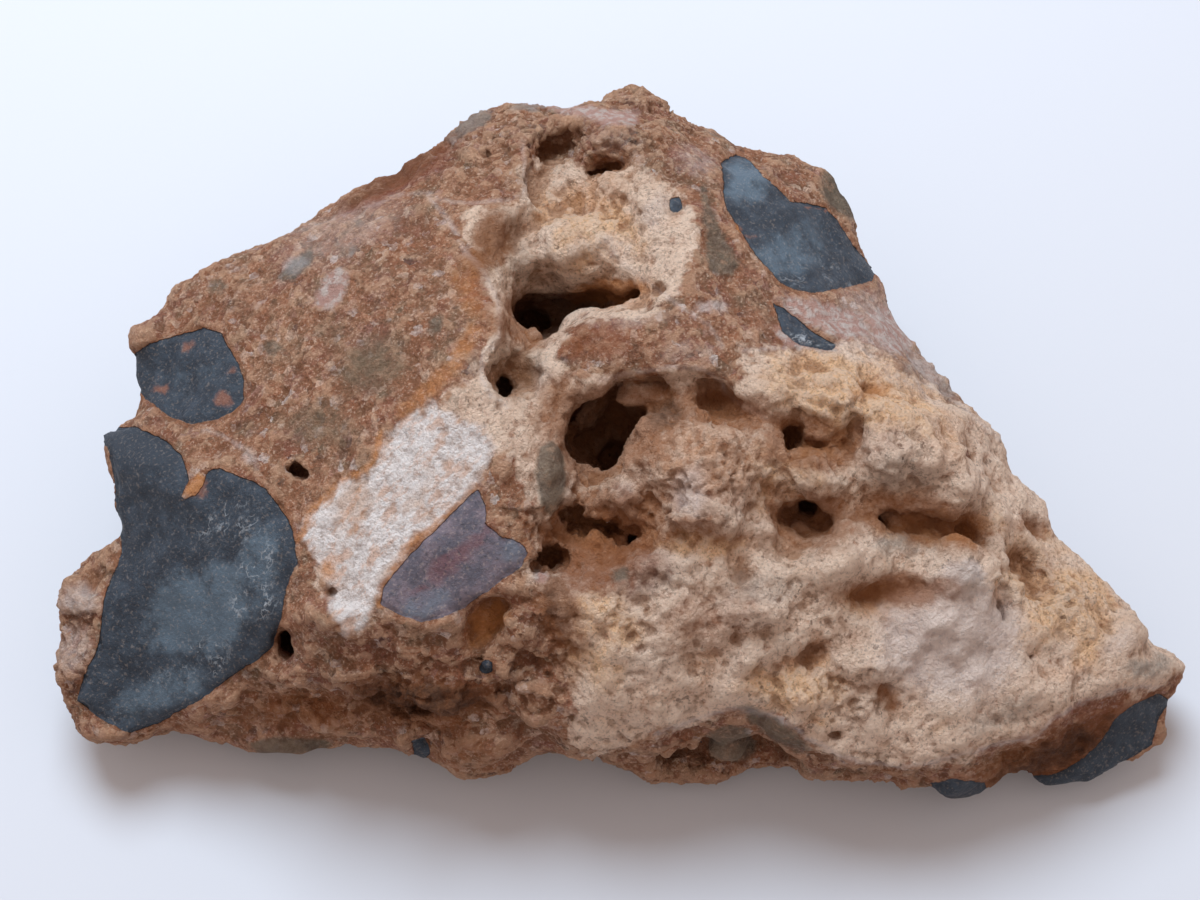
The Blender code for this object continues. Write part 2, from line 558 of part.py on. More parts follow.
def main():
    for obj in list(bpy.data.objects):
        bpy.data.objects.remove(obj)
    blocked_out = block()
    face = BVHTree.FromBMesh(blocked_out)
    stone = solid("conglomerate", [blocked_out], STONE_VOXEL)
    combine(stone, blobs("hollows", face, HOLLOWS), "DIFFERENCE")
    combine(stone, blobs("lumps", face, LUMPS), "UNION")
    remesh(stone, STONE_VOXEL)
    combine(stone, blobs("holes", face, HOLES), "DIFFERENCE")
    remesh(stone, STONE_VOXEL)
    roughen(stone)
    thin_out(stone, TRIANGLES)
    flatten_foot(stone)
    stone.data.materials.clear()
    stone.data.materials.append(stone_finish())
    stone.data.shade_smooth()
    stone.data.set_sharp_from_angle(angle=SHARP_ANGLE)


main()
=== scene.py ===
"""The looks of a broken hand specimen of dolomite conglomerate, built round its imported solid.

The stone is one piece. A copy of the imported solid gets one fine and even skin, its facets are worn away, small
hollows are cut and small lumps are grown, and a seeded roughness is worked in that differs from pebble to matrix to
crumbly dolomite. What each place is made of is kept on the mesh as attributes, and one stone material reads them.
"""

from __future__ import annotations

import logging
import math
from dataclasses import dataclass, field
from enum import Enum
from typing import Any, Callable, Iterable, Sequence

import bmesh
import bpy
import numpy as np
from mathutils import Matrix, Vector, noise
from mathutils.bvhtree import BVHTree


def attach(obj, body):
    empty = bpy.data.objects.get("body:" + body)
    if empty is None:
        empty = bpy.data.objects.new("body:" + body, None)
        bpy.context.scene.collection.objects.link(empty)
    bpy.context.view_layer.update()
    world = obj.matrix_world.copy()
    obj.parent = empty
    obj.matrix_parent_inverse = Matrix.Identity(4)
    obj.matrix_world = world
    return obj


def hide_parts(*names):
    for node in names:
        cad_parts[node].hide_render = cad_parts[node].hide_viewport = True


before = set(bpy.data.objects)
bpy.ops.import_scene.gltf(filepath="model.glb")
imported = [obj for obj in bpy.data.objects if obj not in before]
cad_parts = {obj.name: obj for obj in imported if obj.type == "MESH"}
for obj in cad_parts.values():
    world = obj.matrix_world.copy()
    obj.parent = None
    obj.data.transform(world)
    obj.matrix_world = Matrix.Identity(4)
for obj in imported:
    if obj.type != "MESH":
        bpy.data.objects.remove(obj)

MM = 0.001
NODE = "conglomerate"
BODY = "root"

Colour = tuple[float, float, float, float]
Outline = Sequence[tuple[float, float]]

# The way that the pale patch's streaks run, anticlockwise from +X as seen from above.
STREAKS = math.radians(44)

log = logging.getLogger("scene")


def screen(red: int, green: int, blue: int) -> Colour:
    """Turns a colour as a screen shows it into the linear one that a shader takes.

    Args:
        red: The red level, from 0 to 255.
        green: The green level, from 0 to 255.
        blue: The blue level, from 0 to 255.

    Returns:
        The linear colour, opaque.
    """
    shares = np.array([red, green, blue]) / 255
    linear = np.where(shares <= 0.04045, shares / 12.92, ((shares + 0.055) / 1.055) ** 2.4)
    return (*linear.tolist(), 1.0)


def smoothstep(low: float, high: float, value: np.ndarray) -> np.ndarray:
    """Rises smoothly from 0 to 1 between two values.

    Args:
        low: Where the rise starts.
        high: Where it ends.
        value: The values to look up.

    Returns:
        The share that each value has risen.
    """
    share = np.clip((value - low) / (high - low), 0, 1)
    return share * share * (3 - 2 * share)


@dataclass(frozen=True)
class Photograph:
    """How the photograph sees the stone: X runs to its right, Y away from it, Z up from the table."""

    width: int = 1200
    height: int = 900
    stone_length: float = 120 * MM
    stone_pixels: float = 1096
    focal_pixels: float = 2000
    elevation: float = math.radians(62)
    target: tuple[float, float, float] = (-2.1 * MM, -2.9 * MM, 15.0 * MM)
    sensor_width: float = 36.0

    @property
    def pixel(self) -> float:
        """The width that a pixel covers at the target, in metres."""
        return self.stone_length / self.stone_pixels

    @property
    def right(self) -> Vector:
        """The way that runs to the photograph's right."""
        return Vector((1, 0, 0))

    @property
    def ahead(self) -> Vector:
        """The way that the lens looks."""
        return Vector((0, math.cos(self.elevation), -math.sin(self.elevation)))

    @property
    def upward(self) -> Vector:
        """The way that runs up the photograph."""
        return Vector((0, math.sin(self.elevation), math.cos(self.elevation)))

    @property
    def eye(self) -> Vector:
        """Where the lens is."""
        return Vector(self.target) - self.ahead * (self.pixel * self.focal_pixels)

    def ray(self, u: float, v: float) -> Vector:
        """Finds the way from the lens to a pixel.

        Args:
            u: The pixel across.
            v: The pixel down.

        Returns:
            The direction, one unit long.
        """
        across = self.right * (u - self.width / 2)
        up = self.upward * (self.height / 2 - v)
        return (across + up + self.ahead * self.focal_pixels).normalized()

    def pixels_of(self, points: np.ndarray) -> tuple[np.ndarray, np.ndarray]:
        """Finds where the photograph shows points.

        Args:
            points: The points, one in each row, in metres.

        Returns:
            The pixels across and the pixels down.
        """
        rays = points - np.array(self.eye)
        depth = rays @ np.array(self.ahead) / self.focal_pixels
        u = self.width / 2 + rays @ np.array(self.right) / depth
        v = self.height / 2 - rays @ np.array(self.upward) / depth
        return u, v

    def add_camera(self) -> None:
        """Puts a camera where the lens was, and makes it the scene's."""
        data = bpy.data.cameras.new("camera")
        data.sensor_width = self.sensor_width
        data.lens = self.sensor_width * self.focal_pixels / self.width
        data.clip_start = 10 * MM
        camera = bpy.data.objects.new("camera", data)
        camera.location = self.eye
        camera.rotation_euler = self.ahead.to_track_quat("-Z", "Y").to_euler()
        bpy.context.scene.collection.objects.link(camera)
        bpy.context.scene.camera = camera


class Stuff(Enum):
    """What a place is made of. The value names the attribute that says by how many mm a point lies inside it."""

    DOLOMITE = "dolomite"
    PALE = "pale_patch"
    SLATE = "slate"
    PURPLE = "purple_pebble"
    GREEN = "green_pebble"
    PINK = "pink_pebble"


class Stain(Enum):
    """What soaks softly over a place, whatever it is made of, and the shade, shadow, highlight, reflection and bounce
    light painted over it. The value names the attribute that says how much.
    """

    # Brown that is partly dirt and partly painted shade in hollows, round holes and under ledges.
    UMBER_AND_SHADE = "umber_and_shade"
    # Orange that is partly rust and partly painted warm bounce light in the slot and the bowl.
    ORANGE = "orange"
    # Olive-grey tints, and painted shade on the brown slope left of the bowl.
    OLIVE = "olive"
    # Grey spots, and painted shade under the big lump on the right.
    GREY = "grey"
    # Whitish places, and rim lines that are partly painted highlight on lit edges.
    WHITE = "white"
    RED = "red"
    TAN = "tan"
    # Painted shadow, on places that lie in shade.
    DARK = "dark"
    # Painted reflection, where pebbles tilt to the light.
    PAINTED_REFLECTION = "painted_reflection"
    SCRATCHED = "scratched"


@dataclass(frozen=True)
class Oval:
    """A round place in the photograph, in pixels, with its turn in degrees anticlockwise."""

    u: float
    v: float
    reach_u: float
    reach_v: float
    turn: float = 0.0
    amount: float = 1.0

    def away(self, u: np.ndarray, v: np.ndarray) -> np.ndarray:
        """Finds how far out pixels lie, as a share of the oval's reach.

        Args:
            u: The pixels across.
            v: The pixels down.

        Returns:
            0 in the middle, 1 on the rim and more outside it.
        """
        angle = math.radians(self.turn)
        across = (u - self.u) * math.cos(angle) - (v - self.v) * math.sin(angle)
        down = (u - self.u) * math.sin(angle) + (v - self.v) * math.cos(angle)
        return np.hypot(across / self.reach_u, down / self.reach_v)

    def inside(self, u: np.ndarray, v: np.ndarray) -> np.ndarray:
        """Finds by about how many pixels places lie inside the oval, negative outside it.

        Args:
            u: The pixels across.
            v: The pixels down.

        Returns:
            The distances to the rim.
        """
        return (1 - self.away(u, v)) * min(self.reach_u, self.reach_v)

    def soaked(self, u: np.ndarray, v: np.ndarray) -> np.ndarray:
        """Finds how much of a stain reaches pixels: its amount in the middle, nothing past the rim.

        Args:
            u: The pixels across.
            v: The pixels down.

        Returns:
            The amounts, from 0 to 1.
        """
        return self.amount * (1 - smoothstep(0.25, 1.0, self.away(u, v)))


def distance_to_line(line: Outline, u: np.ndarray, v: np.ndarray, closed: bool) -> np.ndarray:
    """Finds how far pixels lie from a line of straight stretches.

    Args:
        line: The line's points.
        u: The pixels across.
        v: The pixels down.
        closed: Whether the last point joins the first.

    Returns:
        The distances in pixels.
    """
    ends = list(line[1:]) + ([line[0]] if closed else [])
    nearest = np.full(u.shape, np.inf)
    for (u0, v0), (u1, v1) in zip(line, ends):
        length = (u1 - u0) ** 2 + (v1 - v0) ** 2
        along = np.clip(((u - u0) * (u1 - u0) + (v - v0) * (v1 - v0)) / length, 0, 1)
        nearest = np.minimum(nearest, np.hypot(u - u0 - along * (u1 - u0), v - v0 - along * (v1 - v0)))
    return nearest


def inside_outline(outline: Outline, u: np.ndarray, v: np.ndarray) -> np.ndarray:
    """Finds by how many pixels places lie inside an outline, negative outside it.

    Args:
        outline: The outline's points, in order.
        u: The pixels across.
        v: The pixels down.

    Returns:
        The distances to the outline.
    """
    within = np.zeros(u.shape, bool)
    for (u0, v0), (u1, v1) in zip(outline, list(outline[1:]) + [outline[0]]):
        if v0 == v1:
            continue
        spans = (v0 > v) != (v1 > v)
        within ^= spans & (u < u0 + (v - v0) * (u1 - u0) / (v1 - v0))
    return np.where(within, 1, -1) * distance_to_line(outline, u, v, closed=True)


# The patches and pebbles, by their outlines as the photograph shows them, in pixels.
PATCHES: dict[Stuff, dict[str, Outline]] = {
    Stuff.DOLOMITE: {
        "bowl and slot": (
            (462, 212), (490, 214), (522, 204), (530, 172), (552, 160), (600, 172), (640, 168), (662, 180),
            (674, 200), (690, 222), (696, 250), (686, 280), (668, 302), (640, 315), (600, 323), (566, 332),
            (556, 345), (575, 372), (600, 382), (645, 370), (700, 373), (735, 384), (745, 350), (790, 350),
            (850, 343), (900, 370), (960, 400), (1030, 430), (1080, 530), (1140, 590), (1220, 660),
            (1180, 676), (1157, 686), (1127, 688), (1092, 696), (1053, 720), (1037, 735), (1000, 740),
            (968, 752), (905, 768), (860, 762), (805, 737), (765, 712), (728, 709), (655, 737), (600, 752),
            (566, 745), (572, 700), (576, 652), (548, 612), (528, 566), (536, 520), (522, 480), (514, 440),
            (500, 408), (478, 375), (497, 335), (496, 292), (478, 262), (458, 240),
        ),
    },
    Stuff.PALE: {
        "pale patch": (
            (432, 405), (391, 421), (380, 430), (375, 458), (365, 470), (347, 479), (331, 490), (315, 506),
            (303, 529), (300, 539), (316, 548), (322, 575), (334, 600), (329, 623), (354, 639), (372, 621),
            (380, 598), (391, 575), (404, 548), (430, 524), (470, 490), (486, 470), (492, 445), (476, 420),
            (455, 408),
        ),
    },
    Stuff.SLATE: {
        "big slate pebble": (
            (98, 432), (117, 426), (136, 427), (152, 433), (168, 442), (182, 456), (187, 472), (188, 482),
            (180, 500), (198, 494), (204, 483), (207, 472), (218, 468), (235, 476), (255, 483), (267, 490),
            (280, 508), (290, 522), (295, 541), (298, 563), (290, 580), (284, 598), (281, 621), (271, 648),
            (252, 662), (228, 680), (196, 702), (160, 722), (128, 732), (98, 718), (76, 700), (88, 668),
            (97, 650), (101, 621), (105, 598), (112, 575), (121, 552), (122, 541), (117, 518), (115, 483),
            (107, 449),
        ),
        "small slate pebble": (
            (127, 362), (136, 352), (150, 344), (175, 337), (205, 327), (222, 333), (232, 352), (245, 380),
            (244, 400), (232, 414), (212, 421), (186, 423), (168, 417), (150, 402), (136, 386),
        ),
        "back slate pebble": (
            (721, 163), (735, 154), (748, 160), (762, 174), (792, 201), (824, 207), (838, 222), (852, 243),
            (875, 270), (873, 280), (850, 287), (812, 293), (782, 284), (757, 257), (742, 232), (726, 208),
        ),
        "slate chip below it": ((774, 303), (790, 312), (810, 330), (838, 345), (832, 351), (800, 346), (782, 330)),
        "slate at the foot": (
            (1028, 776), (1050, 776), (1078, 762), (1100, 742), (1118, 716), (1134, 704), (1160, 694), (1172, 700),
            (1160, 716), (1152, 745), (1116, 768), (1080, 792), (1048, 794), (1030, 788),
        ),
        "pebble at the front edge": ((930, 782), (955, 779), (985, 784), (992, 796), (965, 805), (936, 798)),
        "chip at the crack": ((411, 741), (424, 737), (430, 752), (425, 764), (415, 757)),
    },
    Stuff.PURPLE: {
        "purple pebble": (
            (478, 488), (484, 502), (484, 522), (500, 539), (520, 543), (527, 553), (522, 566), (500, 582),
            (468, 605), (440, 619), (420, 622), (398, 614), (381, 603), (384, 588), (396, 570), (415, 550),
            (440, 524), (462, 502),
        ),
    },
    Stuff.GREEN: {
        "grey triangle": ((278, 279), (296, 258), (311, 249), (315, 256), (306, 272), (294, 282)),
        "grey-green pebble": (
            (541, 446), (552, 441), (562, 452), (567, 476), (562, 500), (552, 514), (541, 508), (535, 480),
        ),
        "long pebble": ((700, 186), (706, 184), (714, 214), (726, 240), (737, 262), (733, 277), (712, 270), (704, 240)),
        "bluish pebble in front": ((244, 740), (290, 737), (335, 741), (322, 752), (290, 758), (262, 758)),
    },
    Stuff.PINK: {
        "pink pebble": ((318, 294), (330, 274), (343, 266), (350, 276), (342, 296), (332, 311), (318, 308)),
        "grey-white band on top": ((514, 100), (560, 103), (600, 108), (640, 112), (634, 124), (600, 122), (556, 112)),
        "white band of the chip": ((778, 328), (806, 336), (840, 350), (820, 353), (790, 345)),
    },
}

# Small round pebbles and patches.
ROUND_PATCHES: dict[Stuff, list[Oval]] = {
    Stuff.DOLOMITE: [Oval(330, 572, 11, 18), Oval(480, 415, 50, 40, 30)],
    Stuff.SLATE: [
        Oval(675, 205, 6, 8), Oval(487, 667, 6, 7),
    ],
    Stuff.GREEN: [Oval(843, 196, 16, 30, 40), Oval(620, 575, 9, 8), Oval(272, 348, 10, 7), Oval(434, 324, 8, 10), Oval(218, 287, 9, 6), Oval(775, 730, 40, 9, -35), Oval(732, 745, 26, 18)],
    Stuff.PINK: [Oval(828, 318, 44, 13, -20), Oval(540, 575, 6, 5), Oval(890, 330, 26, 18, -40)],
}

# Thin lines that run over the stone: half their width in pixels, how strong they are, and their points.
LINES: dict[Stain, list[tuple[float, float, Outline]]] = {
    # White lines along rims, crests and ledges: partly whitish stone, partly painted highlight on lit edges.
    Stain.WHITE: [
        (5.0, 0.42, ((428, 197), (447, 214), (458, 242), (466, 254), (484, 272), (497, 295), (502, 318), (499, 341))),
        (5.0, 0.42, ((499, 341), (484, 355), (481, 375), (492, 396), (507, 408))),
        (5.0, 0.42, ((600, 382), (640, 369), (665, 366), (702, 368), (720, 380), (724, 394), (742, 405), (765, 418))),
        (4.0, 0.36, ((620, 262), (648, 282), (672, 300), (700, 318), (722, 346))),
        (4.0, 0.42, ((745, 350), (790, 347), (850, 343), (900, 373), (960, 403), (1000, 438))),
        (4.5, 0.5, ((655, 736), (690, 720), (728, 709), (765, 712), (805, 737), (860, 762), (905, 768))),
        (4.0, 0.42, ((905, 768), (968, 752), (1037, 735), (1053, 719), (1092, 697), (1127, 688), (1157, 687))),
        (3.0, 0.36, ((112, 476), (128, 472), (140, 479), (152, 486), (163, 495), (178, 499), (186, 495))),
        (3.5, 0.36, ((290, 235), (330, 222), (370, 207), (400, 195), (430, 193))),
        (4.0, 0.36, ((436, 199), (480, 203), (524, 197), (527, 170), (522, 140))),
        (4.0, 0.42, ((205, 430), (225, 438), (252, 452), (258, 462), (256, 474))),
        (2.0, 0.36, ((756, 262), (772, 252), (790, 258))),
        (2.0, 0.36, ((806, 254), (826, 268), (846, 262))),
    ],
    Stain.ORANGE: [
        (6.0, 0.6, ((299, 540), (314, 507), (331, 489), (347, 478), (366, 468), (375, 455), (380, 430))),
        (7.0, 0.6, ((381, 604), (392, 574), (405, 547), (440, 520), (476, 487))),
        (14.0, 0.45, ((474, 330), (455, 362), (430, 388), (404, 410))),
    ],
}

# Places where a stain is soaked in, and where shade, shadow, highlight, reflection and bounce light are painted.
STAINS: dict[Stain, list[Oval]] = {
    # Umber: partly dirt, partly painted shade round holes, in troughs, under ledges and under the overhanging plate.
    Stain.UMBER_AND_SHADE: [
        Oval(612, 432, 120, 72, 30, 1.0), Oval(806, 444, 84, 44, 0, 1.0), Oval(814, 520, 76, 46, 0, 0.9),
        Oval(600, 530, 110, 66, 10, 1.0), Oval(922, 522, 110, 36, -12, 1.0), Oval(1035, 560, 60, 40, -30, 0.25),
        Oval(720, 410, 90, 28, -10, 0.9), Oval(900, 592, 96, 26, 0, 0.9), Oval(400, 172, 110, 18, 31, 0.5),
        Oval(570, 420, 50, 70, 20, 0.8), Oval(700, 530, 120, 26, -8, 0.5), Oval(830, 650, 60, 20, 35, 0.4),
        Oval(525, 320, 48, 42, 0, 0.9), Oval(515, 375, 30, 40, 0, 0.5),
        Oval(666, 412, 30, 14, 0, 0.9), Oval(700, 625, 70, 44, 0, 0.45),
        Oval(425, 698, 115, 30, -4, 1.0), Oval(600, 570, 70, 40, 0, 0.6), Oval(668, 418, 40, 24, 0, 1.0), Oval(1080, 745, 110, 30, 30, 0.9), Oval(490, 245, 34, 54, -20, 0.9),
        Oval(700, 524, 60, 14, -8, 0.6), Oval(590, 345, 50, 20, 0, 0.35), Oval(612, 440, 44, 46, 40, 0.9), Oval(600, 520, 60, 34, 10, 0.8),
        Oval(560, 610, 34, 70, 20, 1.0), Oval(547, 560, 24, 16, 0, 0.9), Oval(792, 442, 24, 22, 0, 0.8),
        Oval(808, 518, 36, 26, 0, 0.6), Oval(893, 520, 20, 14, 0, 0.8), Oval(962, 535, 22, 16, 0, 1.0),
        Oval(925, 528, 60, 14, -8, 0.6), Oval(900, 484, 60, 22, 0, 0.2), Oval(1030, 526, 34, 16, -12, 0.6),
        Oval(1036, 582, 44, 16, -30, 0.3), Oval(935, 594, 22, 9, 0, 0.6), Oval(882, 695, 12, 30, 35, 0.6),
        Oval(740, 760, 90, 40, 0, 0.25), Oval(1040, 760, 130, 34, 22, 0.7), Oval(880, 778, 80, 14, 0, 0.2),
        Oval(300, 712, 90, 26, 0, 0.6), Oval(420, 712, 80, 26, -10, 0.6), Oval(470, 755, 60, 26, 0, 0.4),
        Oval(700, 528, 70, 14, -8, 0.6), Oval(380, 160, 110, 16, 30, 0.4), Oval(865, 392, 26, 12, 0, 0.3),
        Oval(610, 165, 50, 12, 0, 0.5), Oval(545, 160, 16, 30, 0, 0.4), Oval(835, 735, 20, 12, 0, 0.4),
    ],
    # Orange: rust, rims and streaks, and painted warm bounce light on the slot's roof and in the bowl.
    Stain.ORANGE: [
        Oval(610, 292, 60, 18, 8, 1.0), Oval(600, 190, 60, 40, 0, 0.3), Oval(590, 265, 60, 18, 0, 0.2), Oval(962, 535, 22, 16, 0, 0.9),
        Oval(870, 392, 30, 14, 0, 0.5), Oval(487, 622, 44, 26, 42, 0.8), Oval(595, 530, 50, 30, 0, 0.5),
        Oval(950, 440, 40, 50, 0, 0.3), Oval(890, 610, 60, 16, 0, 0.3), Oval(815, 450, 24, 12, 0, 0.5),
        Oval(330, 570, 14, 22, 0, 0.7), Oval(470, 290, 24, 60, 0, 0.4), Oval(196, 484, 16, 14, 0, 1.0),
        Oval(222, 402, 15, 14, 0, 1.0), Oval(160, 388, 15, 9, 0, 1.0), Oval(228, 371, 11, 10, 0, 1.0),
        Oval(189, 348, 14, 8, 0, 0.8), Oval(748, 236, 16, 3, -35, 0.9), Oval(815, 212, 18, 3, 0, 0.8), Oval(700, 460, 90, 70, 0, 0.4), Oval(1060, 670, 60, 14, 20, 0.3),
    ],
    # Olive: olive-grey tints, and painted shade on the brown slope left of the bowl.
    Stain.OLIVE: [
        Oval(370, 365, 56, 46, 20, 0.6), Oval(320, 425, 50, 40, 0, 0.5), Oval(490, 250, 34, 60, -20, 0.5),
        Oval(515, 370, 34, 40, 0, 0.5), Oval(845, 200, 20, 34, 40, 0.6), Oval(330, 330, 30, 24, 0, 0.3),
    ],
    # Grey: grey spots, and painted shade under the big lump on the right.
    Stain.GREY: [
        Oval(470, 124, 40, 12, 46, 1.0), Oval(350, 250, 14, 6, -60, 0.7), Oval(925, 370, 80, 18, -42, 0.4),
        Oval(540, 105, 40, 8, -4, 0.9), Oval(1150, 668, 34, 16, 0, 0.6), Oval(640, 580, 60, 30, 0, 0.4),
        Oval(900, 548, 44, 18, 0, 0.5), Oval(970, 580, 26, 26, 0, 0.5), Oval(1000, 715, 60, 22, 20, 0.4),
        Oval(900, 480, 60, 20, 0, 0.4), Oval(760, 590, 60, 24, 0, 0.4), Oval(640, 660, 60, 40, 0, 0.2),
        Oval(890, 325, 34, 24, -40, 0.5), Oval(560, 480, 20, 40, 0, 0.4), Oval(905, 470, 60, 20, -10, 0.3),
        Oval(470, 360, 20, 30, 0, 0.3),
    ],
    Stain.WHITE: [
        Oval(950, 640, 110, 90, 0, 0.95), Oval(340, 235, 110, 40, 20, 0.3), Oval(870, 320, 70, 54, -40, 0.4), Oval(930, 370, 60, 18, -42, 0.5), Oval(296, 266, 20, 14, 45, 1.0),
        Oval(655, 212, 22, 26, 0, 0.4), Oval(712, 308, 22, 12, 0, 0.7), Oval(900, 380, 60, 20, -25, 0.4),
        Oval(690, 490, 30, 44, 0, 0.6), Oval(624, 494, 20, 14, 0, 0.6), Oval(1120, 640, 24, 30, -30, 0.4),
        Oval(640, 320, 60, 12, 10, 0.3), Oval(680, 350, 50, 14, 0, 0.3), Oval(248, 458, 14, 16, 0, 0.5),
        Oval(80, 600, 30, 28, 0, 0.6), Oval(965, 575, 34, 24, 0, 0.9), Oval(600, 248, 60, 24, 0, 0.35),
        Oval(612, 140, 40, 24, 0, 0.25), Oval(695, 160, 34, 26, 0, 0.35), Oval(75, 650, 26, 40, 0, 0.4), Oval(540, 380, 20, 30, 0, 0.3),
    ],
    Stain.RED: [
        Oval(700, 470, 100, 90, 0, 0.35), Oval(610, 560, 90, 60, 0, 0.7), Oval(880, 440, 60, 40, 0, 0.3),
        Oval(600, 340, 60, 30, 0, 0.5), Oval(720, 610, 90, 50, 0, 0.3),
        Oval(1080, 745, 110, 30, 30, 0.8), Oval(600, 150, 70, 50, 0, 0.15), Oval(480, 300, 18, 50, 0, 0.4), Oval(860, 680, 40, 30, 0, 0.15),
        Oval(452, 562, 18, 48, -38, 1.0), Oval(422, 596, 18, 20, -50, 0.9), Oval(476, 536, 16, 30, -38, 0.8),
        Oval(560, 320, 12, 10, 0, 0.3), Oval(600, 350, 40, 22, 0, 0.5), Oval(400, 180, 110, 20, 31, 0.9),
        Oval(390, 230, 90, 24, 12, 0.3), Oval(250, 300, 60, 30, 30, 0.25), Oval(760, 320, 90, 24, -20, 0.25),
        Oval(1060, 720, 90, 16, 25, 0.4), Oval(430, 690, 110, 30, 0, 0.3),
    ],
    # Painted shadow: under the ledges, on the front wall, on the tip of the big slate, on the brown slope, under the
    # plate and along the back edge.
    Stain.DARK: [
        Oval(490, 245, 34, 54, -20, 0.15), Oval(668, 418, 34, 20, 0, 0.5), Oval(1060, 752, 120, 26, 26, 0.6),
        Oval(425, 698, 115, 28, -4, 0.6), Oval(560, 610, 30, 66, 20, 0.4), Oval(140, 450, 54, 32, -20, 1.0), Oval(575, 415, 40, 60, 20, 0.2),
        Oval(400, 172, 110, 14, 31, 0.35), Oval(520, 250, 20, 50, 0, 0.3),
    ],
    Stain.TAN: [
        Oval(850, 390, 150, 60, -10, 0.7), Oval(1060, 600, 110, 70, -40, 0.6), Oval(590, 230, 80, 60, 0, 0.5),
        Oval(800, 690, 90, 50, 0, 0.5), Oval(900, 600, 80, 26, 0, 0.5), Oval(600, 640, 60, 90, 0, 0.4),
        Oval(930, 530, 100, 24, 0, 0.6), Oval(790, 460, 60, 60, 0, 0.4), Oval(690, 545, 90, 24, 0, 0.6),
    ],
    # Painted reflection on the slates and the purple pebble.
    Stain.PAINTED_REFLECTION: [
        Oval(200, 610, 90, 66, 30, 1.0), Oval(262, 560, 36, 60, 10, 0.8), Oval(160, 690, 80, 30, 20, 0.7),
        Oval(190, 372, 50, 30, 0, 0.35), Oval(750, 180, 40, 36, 0, 0.9), Oval(790, 250, 70, 40, 30, 0.6),
        Oval(425, 605, 40, 18, 20, 0.8), Oval(510, 555, 22, 14, 0, 0.7),
    ],
    Stain.SCRATCHED: [
        Oval(255, 580, 34, 60, 0, 1.0), Oval(230, 520, 60, 34, 0, 0.6), Oval(195, 665, 60, 30, 25, 0.8),
        Oval(170, 450, 40, 20, 0, 0.15), Oval(800, 270, 60, 30, 0, 0.5), Oval(800, 335, 40, 12, 0, 0.8),
        Oval(190, 380, 60, 40, 0, 0.2),
    ],
}

# How crumbly the dolomite is. Between these places it is rather even.
CRUMBLY: list[Oval] = [
    Oval(700, 470, 100, 90, 0, 1.0), Oval(600, 520, 90, 70, 0, 0.9), Oval(860, 470, 150, 90, 0, 0.5),
    Oval(600, 190, 90, 90, 0, 0.4), Oval(860, 690, 60, 50, 0, 0.8), Oval(760, 620, 120, 60, 0, 0.45),
    Oval(640, 600, 80, 80, 0, 0.5), Oval(800, 690, 60, 40, 0, 0.5), Oval(1040, 590, 70, 40, -30, 0.5),
    Oval(560, 400, 70, 60, 0, 0.3), Oval(840, 400, 90, 50, 0, 0.4),
]

# Where the stone broke in ledges and splinters.
RUGGED: list[Oval] = [
    Oval(420, 690, 150, 70, 0, 1.0), Oval(540, 650, 60, 90, 0, 0.9), Oval(560, 135, 120, 50, 0, 0.9),
    Oval(470, 150, 60, 60, 0, 0.8), Oval(530, 530, 50, 70, 0, 0.9), Oval(300, 700, 120, 50, 0, 0.7),
    Oval(90, 640, 60, 110, 0, 0.8), Oval(860, 770, 160, 26, 0, 0.7), Oval(660, 750, 120, 40, 0, 0.8),
    Oval(500, 380, 40, 60, 0, 0.5), Oval(1050, 760, 120, 50, 20, 0.6), Oval(650, 120, 60, 60, 0, 0.6),
]


class Pattern(Enum):
    """A pattern of seeded noise that relief is made of."""

    SWELLS = "swells"
    BILLOWS = "billows"
    RIDGES = "ridges"
    KNOBS = "knobs"
    CHIPS = "chips"
    CRACKS = "cracks"
    LEDGES = "ledges"


def swell(place: Vector) -> float:
    """Gives a smooth unevenness, from about -1 to 1."""
    return 2 * noise.noise(place)


def billow(place: Vector) -> float:
    """Gives rounded lumps of several sizes with sharp creases between them, from about -0.4 to 0.4."""
    return noise.turbulence(place, 3, True) - 0.4


def ridge(place: Vector) -> float:
    """Gives hollows of several sizes with sharp crests between them, from about -0.4 to 0.4."""
    return 0.4 - noise.turbulence(place + Vector((31.7, 5.3, 11.9)), 3, True)


def ledge(place: Vector) -> float:
    """Gives broken layers whose edges stand over those below them, from -0.5 to 0.5."""
    height = place.z + 0.5 * place.y + 1.1 * noise.noise(place * 0.45) + 0.3 * noise.noise(place * 1.7)
    return 0.5 - (height - math.floor(height))


def knob(place: Vector) -> float:
    """Gives round knobs with sharp seams between them, from about -0.5 to 0.5."""
    return 0.5 - noise.voronoi(place)[0][0]


def chip(place: Vector) -> float:
    """Gives small tilted faces with steps between them, from about -1 to 1."""
    middle = noise.voronoi(place)[1][0]
    return 2 * (place - middle).dot(noise.noise_vector(middle * 7.3))


def crack(place: Vector) -> float:
    """Gives narrow cracks between angular pieces: -1 in a crack and 0 beside it."""
    distances = noise.voronoi(place)[0]
    return -math.exp(-(distances[1] - distances[0]) / 0.07)


PATTERNS: dict[Pattern, Callable[[Vector], float]] = {
    Pattern.SWELLS: swell,
    Pattern.BILLOWS: billow,
    Pattern.RIDGES: ridge,
    Pattern.KNOBS: knob,
    Pattern.CHIPS: chip,
    Pattern.CRACKS: crack,
    Pattern.LEDGES: ledge,
}


@dataclass(frozen=True)
class Layer:
    """One layer of relief: the size of its features and its height on each kind of ground, in mm."""

    pattern: Pattern
    size: float
    matrix: float = 0.0
    dolomite: float = 0.0
    crumbly: float = 0.0
    rugged: float = 0.0
    pale: float = 0.0
    pebble: float = 0.0
    hidden: float = 0.0


